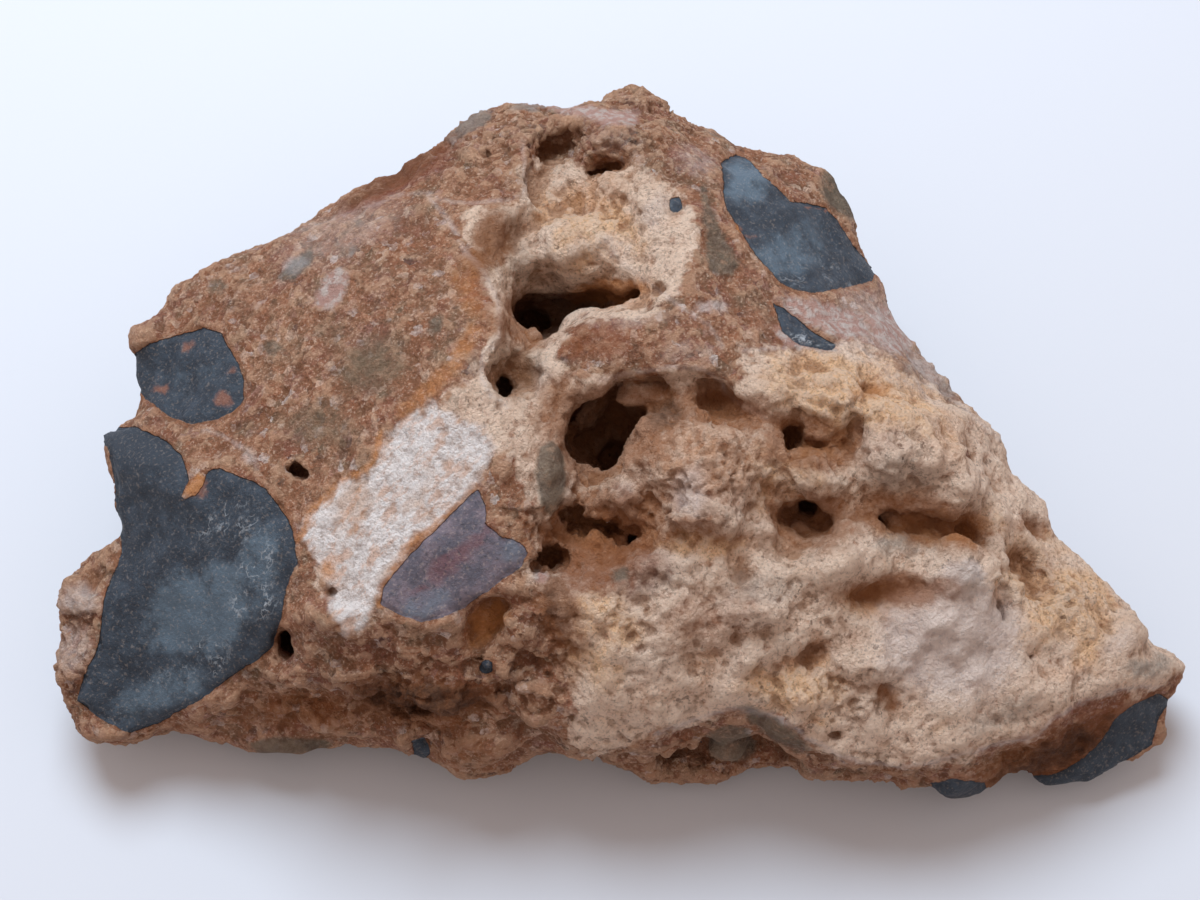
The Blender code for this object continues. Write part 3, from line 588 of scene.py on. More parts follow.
LAYERS: tuple[Layer, ...] = (
    Layer(Pattern.SWELLS, 5.0, 0.25, 0.30, 0.30, 0.40, 0.20, 0.10, 0.40),
    Layer(Pattern.SWELLS, 1.0, 0.06, 0.08, 0.14, 0.10, 0.10, 0.02, 0.08),
    Layer(Pattern.BILLOWS, 6.0, 0.00, 0.35, 0.80, 0.00, 0.00, 0.00, 0.30),
    Layer(Pattern.BILLOWS, 2.2, 0.05, 0.26, 0.95, 0.20, 0.20, 0.00, 0.25),
    Layer(Pattern.RIDGES, 3.4, 0.35, 0.25, 0.55, 0.80, 0.25, 0.06, 0.40),
    Layer(Pattern.RIDGES, 1.3, 0.28, 0.28, 0.90, 0.60, 0.30, 0.03, 0.30),
    Layer(Pattern.RIDGES, 0.8, 0.15, 0.10, 0.35, 0.30, 0.15, 0.00, 0.10),
    Layer(Pattern.KNOBS, 2.6, 0.00, 0.05, 0.45, 0.00, 0.00, 0.00, 0.10),
    Layer(Pattern.KNOBS, 1.3, 0.05, 0.06, 0.45, 0.10, 0.08, 0.00, 0.15),
    Layer(Pattern.CHIPS, 5.5, 0.20, 0.05, 0.10, 0.90, 0.05, 0.05, 0.50),
    Layer(Pattern.CHIPS, 2.4, 0.16, 0.06, 0.16, 0.45, 0.12, 0.02, 0.25),
    Layer(Pattern.LEDGES, 4.6, 0.00, 0.00, 0.00, 0.60, 0.00, 0.00, 0.20),
    Layer(Pattern.CRACKS, 5.0, 0.00, 0.00, 0.00, 0.35, 0.00, 0.00, 0.20),
)


@dataclass(frozen=True)
class Blob:
    """A rough ellipsoid to cut out or to grow on.

    It lies at a pixel, its middle is sink mm under the surface, its radii in mm run across the photograph, up it and
    along the view, and it is turned by turn degrees anticlockwise.
    """

    u: float
    v: float
    sink: float
    radii: tuple[float, float, float]
    turn: float = 0.0


HOLLOWS: dict[str, Blob] = {
    "tiny hole by the middle lump": Blob(651, 514, 0.8, (0.45, 0.45, 2.4)),
    "hole in the brown hollow": Blob(632, 540, 0.8, (0.9, 0.6, 3.0), -30),
    "star hole": Blob(294, 470, 0.8, (1.15, 0.75, 2.6), -10),
    "arm of the star hole": Blob(303, 476, 0.3, (0.5, 0.6, 1.6), -50),
    "pit in the pale patch": Blob(331, 591, 0.3, (0.9, 0.5, 1.0)),
    "pit on the right face": Blob(1031, 657, 0.2, (0.45, 0.9, 0.9), 15),
    "end of the slot": Blob(657, 290, 0.4, (1.0, 0.8, 1.8)),
    "front hole, deeper": Blob(287, 642, 1.0, (1.2, 1.9, 3.0)),
    "left rim's hole, deeper": Blob(502, 391, 1.0, (1.4, 1.3, 3.4)),
    "pocket's throat, deeper": Blob(806, 508, 1.0, (1.5, 0.9, 3.0)),
    "notch of the pale lump": Blob(1001, 612, 0.3, (0.5, 1.3, 1.4)),
    "crevice left of the rim": Blob(494, 136, 0.3, (0.4, 1.0, 1.6), -20),
    "second crevice there": Blob(485, 156, 0.3, (0.4, 0.9, 1.4), -10),
    "crevice in front": Blob(522, 682, 0.4, (0.9, 0.5, 1.8), 20),
    "second crevice in front": Blob(500, 692, 0.4, (1.0, 0.5, 1.8), 20),
    "pit of the knoll": Blob(835, 736, 0.2, (1.0, 0.6, 0.9), 10),
    "end of the long trough": Blob(939, 595, 0.2, (0.9, 0.5, 1.0), 10),
}
LUMPS: dict[str, Blob] = {
    "knob in the pocket": Blob(800, 530, 0.4, (1.1, 1.0, 1.2)),
    "knob in the slot": Blob(530, 341, 0.4, (1.0, 1.1, 1.2)),
    "left slope of the big hole": Blob(586, 412, 0.2, (1.7, 2.6, 2.8), -30),
    "shelf under the plate": Blob(655, 394, 0.3, (4.0, 1.4, 2.5)),
    "floor of the trough": Blob(918, 526, 0.4, (5.0, 1.2, 2.4), -14),
    "bottom of the orange mould": Blob(482, 619, 0.2, (2.6, 1.5, 1.0), 45),
}


def pebbles_of_the_hidden_side(points: np.ndarray) -> tuple[np.ndarray, np.ndarray]:
    """Scatters angular pebbles through the stone, for the sides that the photograph doesn't show.

    Args:
        points: The points to look up, one in each row, in metres.

    Returns:
        By how many mm each point lies inside a pebble, and a number from 0 to 1 that picks the pebble's kind.
    """
    size = 11 * MM
    share_of_pebbles = 0.42
    rim = 0.09
    inside = np.empty(len(points))
    kind = np.empty(len(points))
    for n, point in enumerate(points):
        place = Vector(point) / size
        place += 0.25 * noise.noise_vector(place * 1.7)
        distances, middles = noise.voronoi(place)[:2]
        edge = (distances[1] - distances[0]) / 2
        pick = noise.cell(middles[0] * 91.7)
        inside[n] = (edge - rim if pick < share_of_pebbles else -edge - rim) * size / MM
        kind[n] = pick / share_of_pebbles
    return inside, kind


# How far, in pixels, the borders of each kind of stuff wander from their outlines.
WANDER: dict[Stuff, float] = {
    Stuff.DOLOMITE: 12.0,
    Stuff.PALE: 10.0,
    Stuff.SLATE: 1.6,
    Stuff.PURPLE: 2.0,
    Stuff.GREEN: 2.5,
    Stuff.PINK: 4.0,
}
STAIN_WANDER = 8.0


class Survey:
    """What points of the stone's surface are made of, from where the photograph shows them."""

    def __init__(self, photo: Photograph, solid: BVHTree, points: np.ndarray) -> None:
        """Looks the points up in the photograph.

        Args:
            photo: How the photograph sees the stone.
            solid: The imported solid's faces.
            points: The points, one in each row, in metres.
        """
        self.photo = photo
        self.points = points
        self.u, self.v = photo.pixels_of(points)
        self.front = self.share_in_front(solid)
        self.wander = sum(
            share * np.array([noise.noise_vector(Vector(place)) for place in (points / size).tolist()])
            for size, share in ((5.0 * MM, 1.0), (2.2 * MM, 0.7), (0.9 * MM, 0.5))
        )

    def wandering(self, reach: float) -> tuple[np.ndarray, np.ndarray]:
        """Shifts the points' pixels by seeded noise, so that no border keeps its straight stretches.

        Args:
            reach: How far they shift, in pixels.

        Returns:
            The shifted pixels across and down.
        """
        return self.u + reach * self.wander[:, 0], self.v + reach * self.wander[:, 1]

    def share_in_front(self, solid: BVHTree) -> np.ndarray:
        """Finds which points belong to the side that the photograph shows.

        Args:
            solid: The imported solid's faces.

        Returns:
            1 for a point that lies near the first surface behind its pixel, 0 for one far behind it.
        """
        eye = self.photo.eye
        behind = np.empty(len(self.points))
        for n, point in enumerate(self.points.tolist()):
            way = Vector(point) - eye
            hit = solid.ray_cast(eye, way.normalized())[3]
            behind[n] = 0.0 if hit is None else way.length - hit
        return 1 - smoothstep(4 * MM, 7 * MM, behind)

    def inside(self, stuff: Stuff) -> np.ndarray:
        """Finds by how many mm the points lie inside a kind of stuff, negative outside it.

        Args:
            stuff: The kind.

        Returns:
            The distances to its nearest border.
        """
        u, v = self.wandering(WANDER[stuff])
        found = [inside_outline(outline, u, v) for outline in PATCHES[stuff].values()]
        found += [oval.inside(u, v) for oval in ROUND_PATCHES.get(stuff, [])]
        millimetres = np.max(found, axis=0) * self.photo.pixel / MM
        return np.minimum(millimetres, (self.front - 0.5) * 8)

    def soaked(self, stain: Stain) -> np.ndarray:
        """Finds how much of a stain the points hold.

        Args:
            stain: The stain.

        Returns:
            The amounts, from 0 to 1.
        """
        u, v = self.wandering(STAIN_WANDER)
        amount = np.zeros(len(self.points))
        for oval in STAINS.get(stain, []):
            amount = np.maximum(amount, oval.soaked(u, v))
        u, v = self.wandering(STAIN_WANDER / 3)
        for reach, most, line in LINES.get(stain, []):
            away = distance_to_line(line, u, v, closed=False)
            amount = np.maximum(amount, most * (1 - smoothstep(0.2, 1.0, away / reach)))
        return amount * self.front

    def share_of(self, ovals: list[Oval]) -> np.ndarray:
        """Finds how far the points lie in some of the ovals, from 0 to 1."""
        return np.max([oval.soaked(self.u, self.v) for oval in ovals], axis=0) * self.front


@dataclass
class Stone:
    """The stone: its fine skin, its relief, what it is made of and its finish."""

    photo: Photograph
    name: str = "conglomerate_stone"
    slot: str = "conglomerate"
    skin: float = 0.36 * MM
    wear_steps: int = 7
    broad_skin: float = 1.6 * MM
    broad_wear_steps: int = 30
    crevice_wear_steps: int = 24
    groove: float = 0.22
    groove_width: float = 0.30
    most_triangles: int = 196_000
    care_for_the_front: float = 1e-5
    blob_variety: float = 400.0
    piece: bpy.types.Object = field(init=False)
    solid: BVHTree = field(init=False)
    hidden: np.ndarray = field(init=False)

    def build(self) -> bpy.types.Object:
        """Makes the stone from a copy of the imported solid.

        Returns:
            The finished piece.
        """
        self.copy_solid()
        self.remesh(self.piece, self.skin)
        self.wear_down(self.piece, self.wear_steps)
        self.carve()
        self.roughen()
        self.thin_out()
        self.rest_on_table()
        self.keep_what_it_is_made_of()
        self.piece.data.shade_smooth()
        return self.piece

    def copy_solid(self) -> None:
        """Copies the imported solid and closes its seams."""
        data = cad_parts[NODE].data.copy()
        data.materials.clear()
        mesh = bmesh.new()
        mesh.from_mesh(data)
        bmesh.ops.remove_doubles(mesh, verts=mesh.verts, dist=0.001 * MM)
        self.solid = BVHTree.FromBMesh(mesh)
        mesh.to_mesh(data)
        mesh.free()
        self.piece = bpy.data.objects.new(self.name, data)
        bpy.context.scene.collection.objects.link(self.piece)

    def settle(self, obj: bpy.types.Object) -> None:
        """Replaces an object's mesh by what its modifiers make of it.

        Args:
            obj: The object.
        """
        graph = bpy.context.evaluated_depsgraph_get()
        made = bpy.data.meshes.new_from_object(obj.evaluated_get(graph))
        obj.modifiers.clear()
        obj.data = made

    def remesh(self, obj: bpy.types.Object, size: float) -> None:
        """Rebuilds an object's surface as one even skin.

        Args:
            obj: The object.
            size: The size of the skin's squares.
        """
        modifier = obj.modifiers.new("skin", "REMESH")
        modifier.mode = "VOXEL"
        modifier.voxel_size = size
        self.settle(obj)

    def wear_down(self, obj: bpy.types.Object, steps: int) -> None:
        """Smooths an object's surface.

        Args:
            obj: The object.
            steps: How many times each point moves halfway to the middle of its neighbours.
        """
        modifier = obj.modifiers.new("wear", "SMOOTH")
        modifier.factor = 0.5
        modifier.iterations = steps
        self.settle(obj)

    def carve(self) -> None:
        """Cuts the small hollows and grows the small lumps."""
        face = BVHTree.FromObject(self.piece, bpy.context.evaluated_depsgraph_get())
        for name, blobs, operation in (("lumps", LUMPS, "UNION"), ("hollows", HOLLOWS, "DIFFERENCE")):
            cutter = self.joined(name, [self.blob_mesh(face, blob) for blob in blobs.values()])
            boolean = self.piece.modifiers.new(name, "BOOLEAN")
            boolean.operation = operation
            boolean.object = cutter
            boolean.solver = "MANIFOLD"
            self.settle(self.piece)
            bpy.data.objects.remove(cutter)
        self.remesh(self.piece, self.skin)

    def blob_mesh(self, face: BVHTree, blob: Blob) -> bmesh.types.BMesh:
        """Makes a rough ellipsoid.

        Args:
            face: The surface that it lies under.
            blob: Its place and size.

        Returns:
            Its mesh.
        """
        place = face.ray_cast(self.photo.eye, self.photo.ray(blob.u, blob.v))[0]
        place += self.photo.ahead * blob.sink * MM
        angle = math.radians(blob.turn)
        side = self.photo.right * math.cos(angle) + self.photo.upward * math.sin(angle)
        top = self.photo.upward * math.cos(angle) - self.photo.right * math.sin(angle)
        across, up, deep = (radius * MM for radius in blob.radii)
        mesh = bmesh.new()
        bmesh.ops.create_icosphere(mesh, subdivisions=4, radius=1.0)
        for vert in mesh.verts:
            spot = vert.co + place * self.blob_variety
            x, y, z = vert.co * (1 + 0.2 * swell(spot / 0.7) + 0.1 * swell(spot / 0.3))
            vert.co = place + side * (x * across) + top * (y * up) + self.photo.ahead * (z * deep)
        return mesh

    def joined(self, name: str, meshes: Iterable[bmesh.types.BMesh]) -> bpy.types.Object:
        """Makes one object of several closed meshes.

        Args:
            name: The object's name.
            meshes: The meshes, which are freed.

        Returns:
            The object, with one skin.
        """
        data = bpy.data.meshes.new(name)
        whole = bmesh.new()
        for mesh in meshes:
            mesh.to_mesh(data)
            whole.from_mesh(data)
            mesh.free()
        whole.to_mesh(data)
        whole.free()
        obj = bpy.data.objects.new(name, data)
        bpy.context.scene.collection.objects.link(obj)
        self.remesh(obj, self.skin / 2)
        return obj

    def points(self) -> np.ndarray:
        """Reads the piece's points, one in each row, in metres."""
        data = self.piece.data
        places = np.empty(len(data.vertices) * 3, np.float32)
        data.vertices.foreach_get("co", places)
        return places.reshape(-1, 3).astype(float)

    def roughen(self) -> None:
        """Works the seeded relief into the surface, each kind of ground with its own."""
        data = self.piece.data
        points = self.points()
        survey = Survey(self.photo, self.solid, points)
        ground = self.ground(survey)
        self.hidden = survey.front < 0.5
        shift = np.zeros(len(points))
        for layer in LAYERS:
            pattern = PATTERNS[layer.pattern]
            places = (points / (layer.size * MM)).tolist()
            relief = np.array([pattern(Vector(place)) for place in places])
            shift += relief * sum(getattr(layer, kind) * share for kind, share in ground.items())
        rims = np.maximum(survey.inside(Stuff.SLATE), survey.inside(Stuff.PURPLE))
        shift -= self.groove * np.exp(-((rims / self.groove_width) ** 2))
        above_table = smoothstep(0.2 * MM, 2.0 * MM, points[:, 2])
        points += self.normals() * (shift * above_table * MM)[:, None]
        data.vertices.foreach_set("co", points.astype(np.float32).ravel())
        data.update()

    def ground(self, survey: Survey) -> dict[str, np.ndarray]:
        """Shares each point out among the kinds of ground that the relief knows.

        Args:
            survey: What the points are made of.

        Returns:
            The share of each kind, by its name in Layer.
        """
        hidden = 1 - survey.front
        pebbles = [survey.inside(stuff) for stuff in (Stuff.SLATE, Stuff.PURPLE, Stuff.GREEN, Stuff.PINK)]
        pebble = smoothstep(-0.1, 0.3, np.max(pebbles, axis=0)) * survey.front
        pale = smoothstep(-0.3, 0.5, survey.inside(Stuff.PALE)) * survey.front * (1 - pebble)
        rest = survey.front * (1 - pebble) * (1 - pale)
        rugged = survey.share_of(RUGGED) * rest
        crumbly = survey.share_of(CRUMBLY) * (rest - rugged)
        dolomite = smoothstep(-0.6, 0.6, survey.inside(Stuff.DOLOMITE)) * (rest - rugged - crumbly)
        matrix = rest - rugged - crumbly - dolomite
        return {
            "matrix": matrix,
            "dolomite": dolomite,
            "crumbly": crumbly,
            "rugged": rugged,
            "pale": pale,
            "pebble": pebble,
            "hidden": hidden,
        }

    def thin_out(self) -> None:
        """Keeps no more triangles than a piece may have: thins out the hidden sides first, then all of it."""
        hidden = self.piece.vertex_groups.new(name="hidden")
        hidden.add(np.flatnonzero(self.hidden).tolist(), 1.0, "REPLACE")
        for where in (hidden.name, ""):
            self.piece.data.calc_loop_triangles()
            before = len(self.piece.data.loop_triangles)
            modifier = self.piece.modifiers.new("fewer triangles", "DECIMATE")
            modifier.vertex_group = where
            modifier.vertex_group_factor = self.care_for_the_front
            modifier.ratio = min(1.0, self.most_triangles / before)
            modifier.use_collapse_triangulate = True
            self.settle(self.piece)
            log.info("skin of %d triangles, %d kept", before, len(self.piece.data.polygons))

    def rest_on_table(self) -> None:
        """Brings the lowest points to the height of the table, where the stone rests."""
        points = self.points()
        gap = max(points[:, 2].min(), 0.0)
        points[:, 2] -= gap * (1 - smoothstep(1 * MM, 5 * MM, points[:, 2]))
        points[:, 2] = np.maximum(points[:, 2], 0.0)
        self.piece.data.vertices.foreach_set("co", points.astype(np.float32).ravel())
        self.piece.data.update()

    def keep(self, name: str, values: np.ndarray) -> None:
        """Keeps one number for each point on the mesh.

        Args:
            name: The attribute's name.
            values: The numbers.
        """
        attribute = self.piece.data.attributes.new(name, "FLOAT", "POINT")
        attribute.data.foreach_set("value", values.astype(np.float32))

    def keep_what_it_is_made_of(self) -> None:
        """Keeps on the mesh what each point is made of, what stains it, what shade, shadow, highlight and reflection
        are painted on it, and how deep in a hollow it lies.
        """
        points = self.points()
        survey = Survey(self.photo, self.solid, points)
        for stuff in Stuff:
            self.keep(stuff.value, survey.inside(stuff))
        for stain in Stain:
            self.keep(stain.value, survey.soaked(stain))
        inside, kind = pebbles_of_the_hidden_side(points)
        self.keep("hidden_pebble", np.minimum(inside, (0.6 - survey.front) * 8))
        self.keep("hidden_kind", kind)
        self.keep("hollow", self.depth_of_hollows(points))
        self.keep("crevice", self.depth_of_crevices(points))

    def normals(self) -> np.ndarray:
        """Reads the normals at the piece's points, one in each row."""
        data = self.piece.data
        normals = np.empty(len(data.vertices) * 3, np.float32)
        data.vertices.foreach_get("normal", normals)
        return normals.reshape(-1, 3).astype(float)

    def depth_of_crevices(self, points: np.ndarray) -> np.ndarray:
        """Finds how far points lie below their close surroundings.

        Args:
            points: The points, one in each row, in metres.

        Returns:
            The depths in mm, negative on small bumps.
        """
        rough = self.piece.data
        self.piece.data = rough.copy()
        self.wear_down(self.piece, self.crevice_wear_steps)
        worn = self.points()
        self.piece.data = rough
        return np.sum((worn - points) * self.normals(), axis=1) / MM

    def depth_of_hollows(self, points: np.ndarray) -> np.ndarray:
        """Finds how far points lie below the stone's broad form.

        Args:
            points: The points, one in each row, in metres.

        Returns:
            The depths in mm, negative on what stands out.
        """
        broad = self.piece.copy()
        broad.data = self.piece.data.copy()
        bpy.context.scene.collection.objects.link(broad)
        self.remesh(broad, self.broad_skin)
        self.wear_down(broad, self.broad_wear_steps)
        form = BVHTree.FromObject(broad, bpy.context.evaluated_depsgraph_get())
        bpy.data.objects.remove(broad)
        depths = np.empty(len(points))
        for n, point in enumerate(points.tolist()):
            nearest, normal = form.find_nearest(Vector(point))[:2]
            depths[n] = (nearest - Vector(point)).dot(normal) / MM
        return depths


class Value:
    """A number that varies over the surface: one socket, whose operators add Math nodes."""

    def __init__(self, paint: Paint, socket: bpy.types.NodeSocket) -> None:
        """Wraps a socket.

        Args:
            paint: The material's nodes.
            socket: The output that gives the number.
        """
        self.paint = paint
        self.socket = socket

    def __add__(self, other: Value | float) -> Value:
        """Adds."""
        return self.paint.math("ADD", self, other)

    def __radd__(self, other: float) -> Value:
        """Adds, from the right."""
        return self.paint.math("ADD", other, self)

    def __sub__(self, other: Value | float) -> Value:
        """Takes away."""
        return self.paint.math("SUBTRACT", self, other)

    def __rsub__(self, other: float) -> Value:
        """Takes this away from a number."""
        return self.paint.math("SUBTRACT", other, self)

    def __mul__(self, other: Value | float) -> Value:
        """Multiplies."""
        return self.paint.math("MULTIPLY", self, other)

    def __rmul__(self, other: float) -> Value:
        """Multiplies, from the right."""
        return self.paint.math("MULTIPLY", other, self)


class Paint:
    """The nodes of one material."""

    def __init__(self, name: str) -> None:
        """Starts a material with a Principled shader.

        Args:
            name: The material's name.
        """
        self.material = bpy.data.materials.new(name)
        self.material.use_nodes = True
        self.tree = self.material.node_tree
        self.shader = self.tree.nodes["Principled BSDF"]

    def node(self, kind: str, settings: dict[str, Any], sockets: dict[str | int, Any]) -> bpy.types.Node:
        """Adds a node.

        Args:
            kind: The node's type.
            settings: Its properties, set first. A ramp's stops are a list of places and colours.
            sockets: The values or links of its inputs, by name or number.

        Returns:
            The node.
        """
        node = self.tree.nodes.new(kind)
        for name, setting in settings.items():
            if name == "stops":
                self.set_stops(node.color_ramp, setting)
            else:
                setattr(node, name, setting)
        for name, value in sockets.items():
            self.feed(node.inputs[name], value)
        return node

    def set_stops(self, ramp: bpy.types.ColorRamp, stops: Sequence[tuple[float, Colour]]) -> None:
        """Sets a colour ramp's stops.

        Args:
            ramp: The ramp.
            stops: Their places, from 0 to 1, and colours.
        """
        while len(ramp.elements) < len(stops):
            ramp.elements.new(1.0)
        for element, (place, colour) in zip(ramp.elements, stops):
            element.position = place
            element.color = colour

    def feed(self, socket: bpy.types.NodeSocket, value: Any) -> None:
        """Links an input or sets it.

        Args:
            socket: The input.
            value: A Value, an output socket, a number or a colour.
        """
        if isinstance(value, Value):
            self.tree.links.new(value.socket, socket)
        elif isinstance(value, bpy.types.NodeSocket):
            self.tree.links.new(value, socket)
        else:
            socket.default_value = value

    def math(self, operation: str, first: Value | float, second: Value | float) -> Value:
        """Adds a Math node.

        Args:
            operation: Its operation.
            first: The first number.
            second: The second number.

        Returns:
            The result.
        """
        node = self.node("ShaderNodeMath", {"operation": operation}, {0: first, 1: second})
        return Value(self, node.outputs[0])

    def attribute(self, name: str) -> Value:
        """Reads a number that the mesh keeps.

        Args:
            name: The attribute's name.

        Returns:
            The number.
        """
        node = self.node("ShaderNodeAttribute", {"attribute_name": name}, {})
        return Value(self, node.outputs["Fac"])

    def rise(self, value: Value, low: float, high: float) -> Value:
        """Rises smoothly from 0 to 1 between two values, or falls where low is the greater.

        Args:
            value: The number that is looked up.
            low: Where it gives 0.
            high: Where it gives 1.

        Returns:
            The share.
        """
        settings = {"interpolation_type": "SMOOTHSTEP"}
        node = self.node("ShaderNodeMapRange", settings, {"Value": value, "From Min": low, "From Max": high})
        return Value(self, node.outputs["Result"])

    def mix(self, first: Any, second: Any, share: Value | float, blend: str = "MIX") -> bpy.types.NodeSocket:
        """Mixes two colours.

        Args:
            first: The colour where share is 0.
            second: The colour where share is 1.
            share: How much of the second.
            blend: How they blend.

        Returns:
            The mixed colour.
        """
        settings = {"data_type": "RGBA", "blend_type": blend, "clamp_factor": True}
        return self.node("ShaderNodeMix", settings, {0: share, 6: first, 7: second}).outputs[2]

    def noise(
        self, size: float, detail: float = 3.0, roughness: float = 0.55, shift: float = 0.0, stretch: float = 1.0
    ) -> Value:
        """Adds a cloudy pattern that is fixed to the stone.

        Args:
            size: The size of its features, in metres.
            detail: How many finer layers it has.
            roughness: How strong they are.
            shift: Moves the pattern, so that two of one size differ.
            stretch: How many times longer than wide its features are.

        Returns:
            The pattern, from about 0.25 to 0.75.
        """
        sockets = {
            "Vector": self.place(shift, stretch), "Scale": 1 / size, "Detail": detail, "Roughness": roughness,
        }
        return Value(self, self.node("ShaderNodeTexNoise", {}, sockets).outputs["Fac"])

    def place(self, shift: float = 0.0, stretch: float = 1.0) -> bpy.types.NodeSocket:
        """Reads where a point of the stone lies.

        Args:
            shift: Moves the place, for patterns that should differ.
            stretch: Stretches the pattern along the streaks of the pale patch.

        Returns:
            The place.
        """
        place = self.node("ShaderNodeTexCoord", {}, {}).outputs["Object"]
        sockets = {
            "Vector": place, "Location": (shift, shift, shift), "Rotation": (0.0, 0.0, STREAKS),
            "Scale": (stretch, 1.0, 1.0),
        }
        return self.node("ShaderNodeMapping", {"vector_type": "TEXTURE"}, sockets).outputs["Vector"]

    def grains(self, size: float, ragged: float = 0.35) -> tuple[Value, Value]:
        """Divides the stone into angular grains that are fixed to it.

        Args:
            size: How far apart they are, in metres.
            ragged: How far their borders wander, as a share of the size.

        Returns:
            The distance from each grain's middle, and a number from 0 to 1 that is each grain's own.
        """
        bent = self.node("ShaderNodeTexNoise", {}, {"Vector": self.place(), "Scale": 1.6 / size, "Detail": 2.0})
        reach = size * ragged * 2
        offset = self.node(
            "ShaderNodeVectorMath", {"operation": "MULTIPLY_ADD"},
            {0: bent.outputs["Color"], 1: (reach, reach, reach), 2: self.place()},
        )
        node = self.node("ShaderNodeTexVoronoi", {}, {"Vector": offset.outputs[0], "Scale": 1 / size})
        parts = self.node("ShaderNodeSeparateColor", {}, {"Color": node.outputs["Color"]})
        return Value(self, node.outputs["Distance"]), Value(self, parts.outputs["Red"])

    def pick(self, value: Value, stops: Sequence[tuple[float, Colour]]) -> bpy.types.NodeSocket:
        """Picks a colour by a number, with a hard step at each stop.

        Args:
            value: The number.
            stops: Where each colour starts, and the colour.

        Returns:
            The picked colour.
        """
        node = self.node("ShaderNodeValToRGB", {"stops": stops}, {"Fac": value})
        node.color_ramp.interpolation = "CONSTANT"
        return node.outputs["Color"]


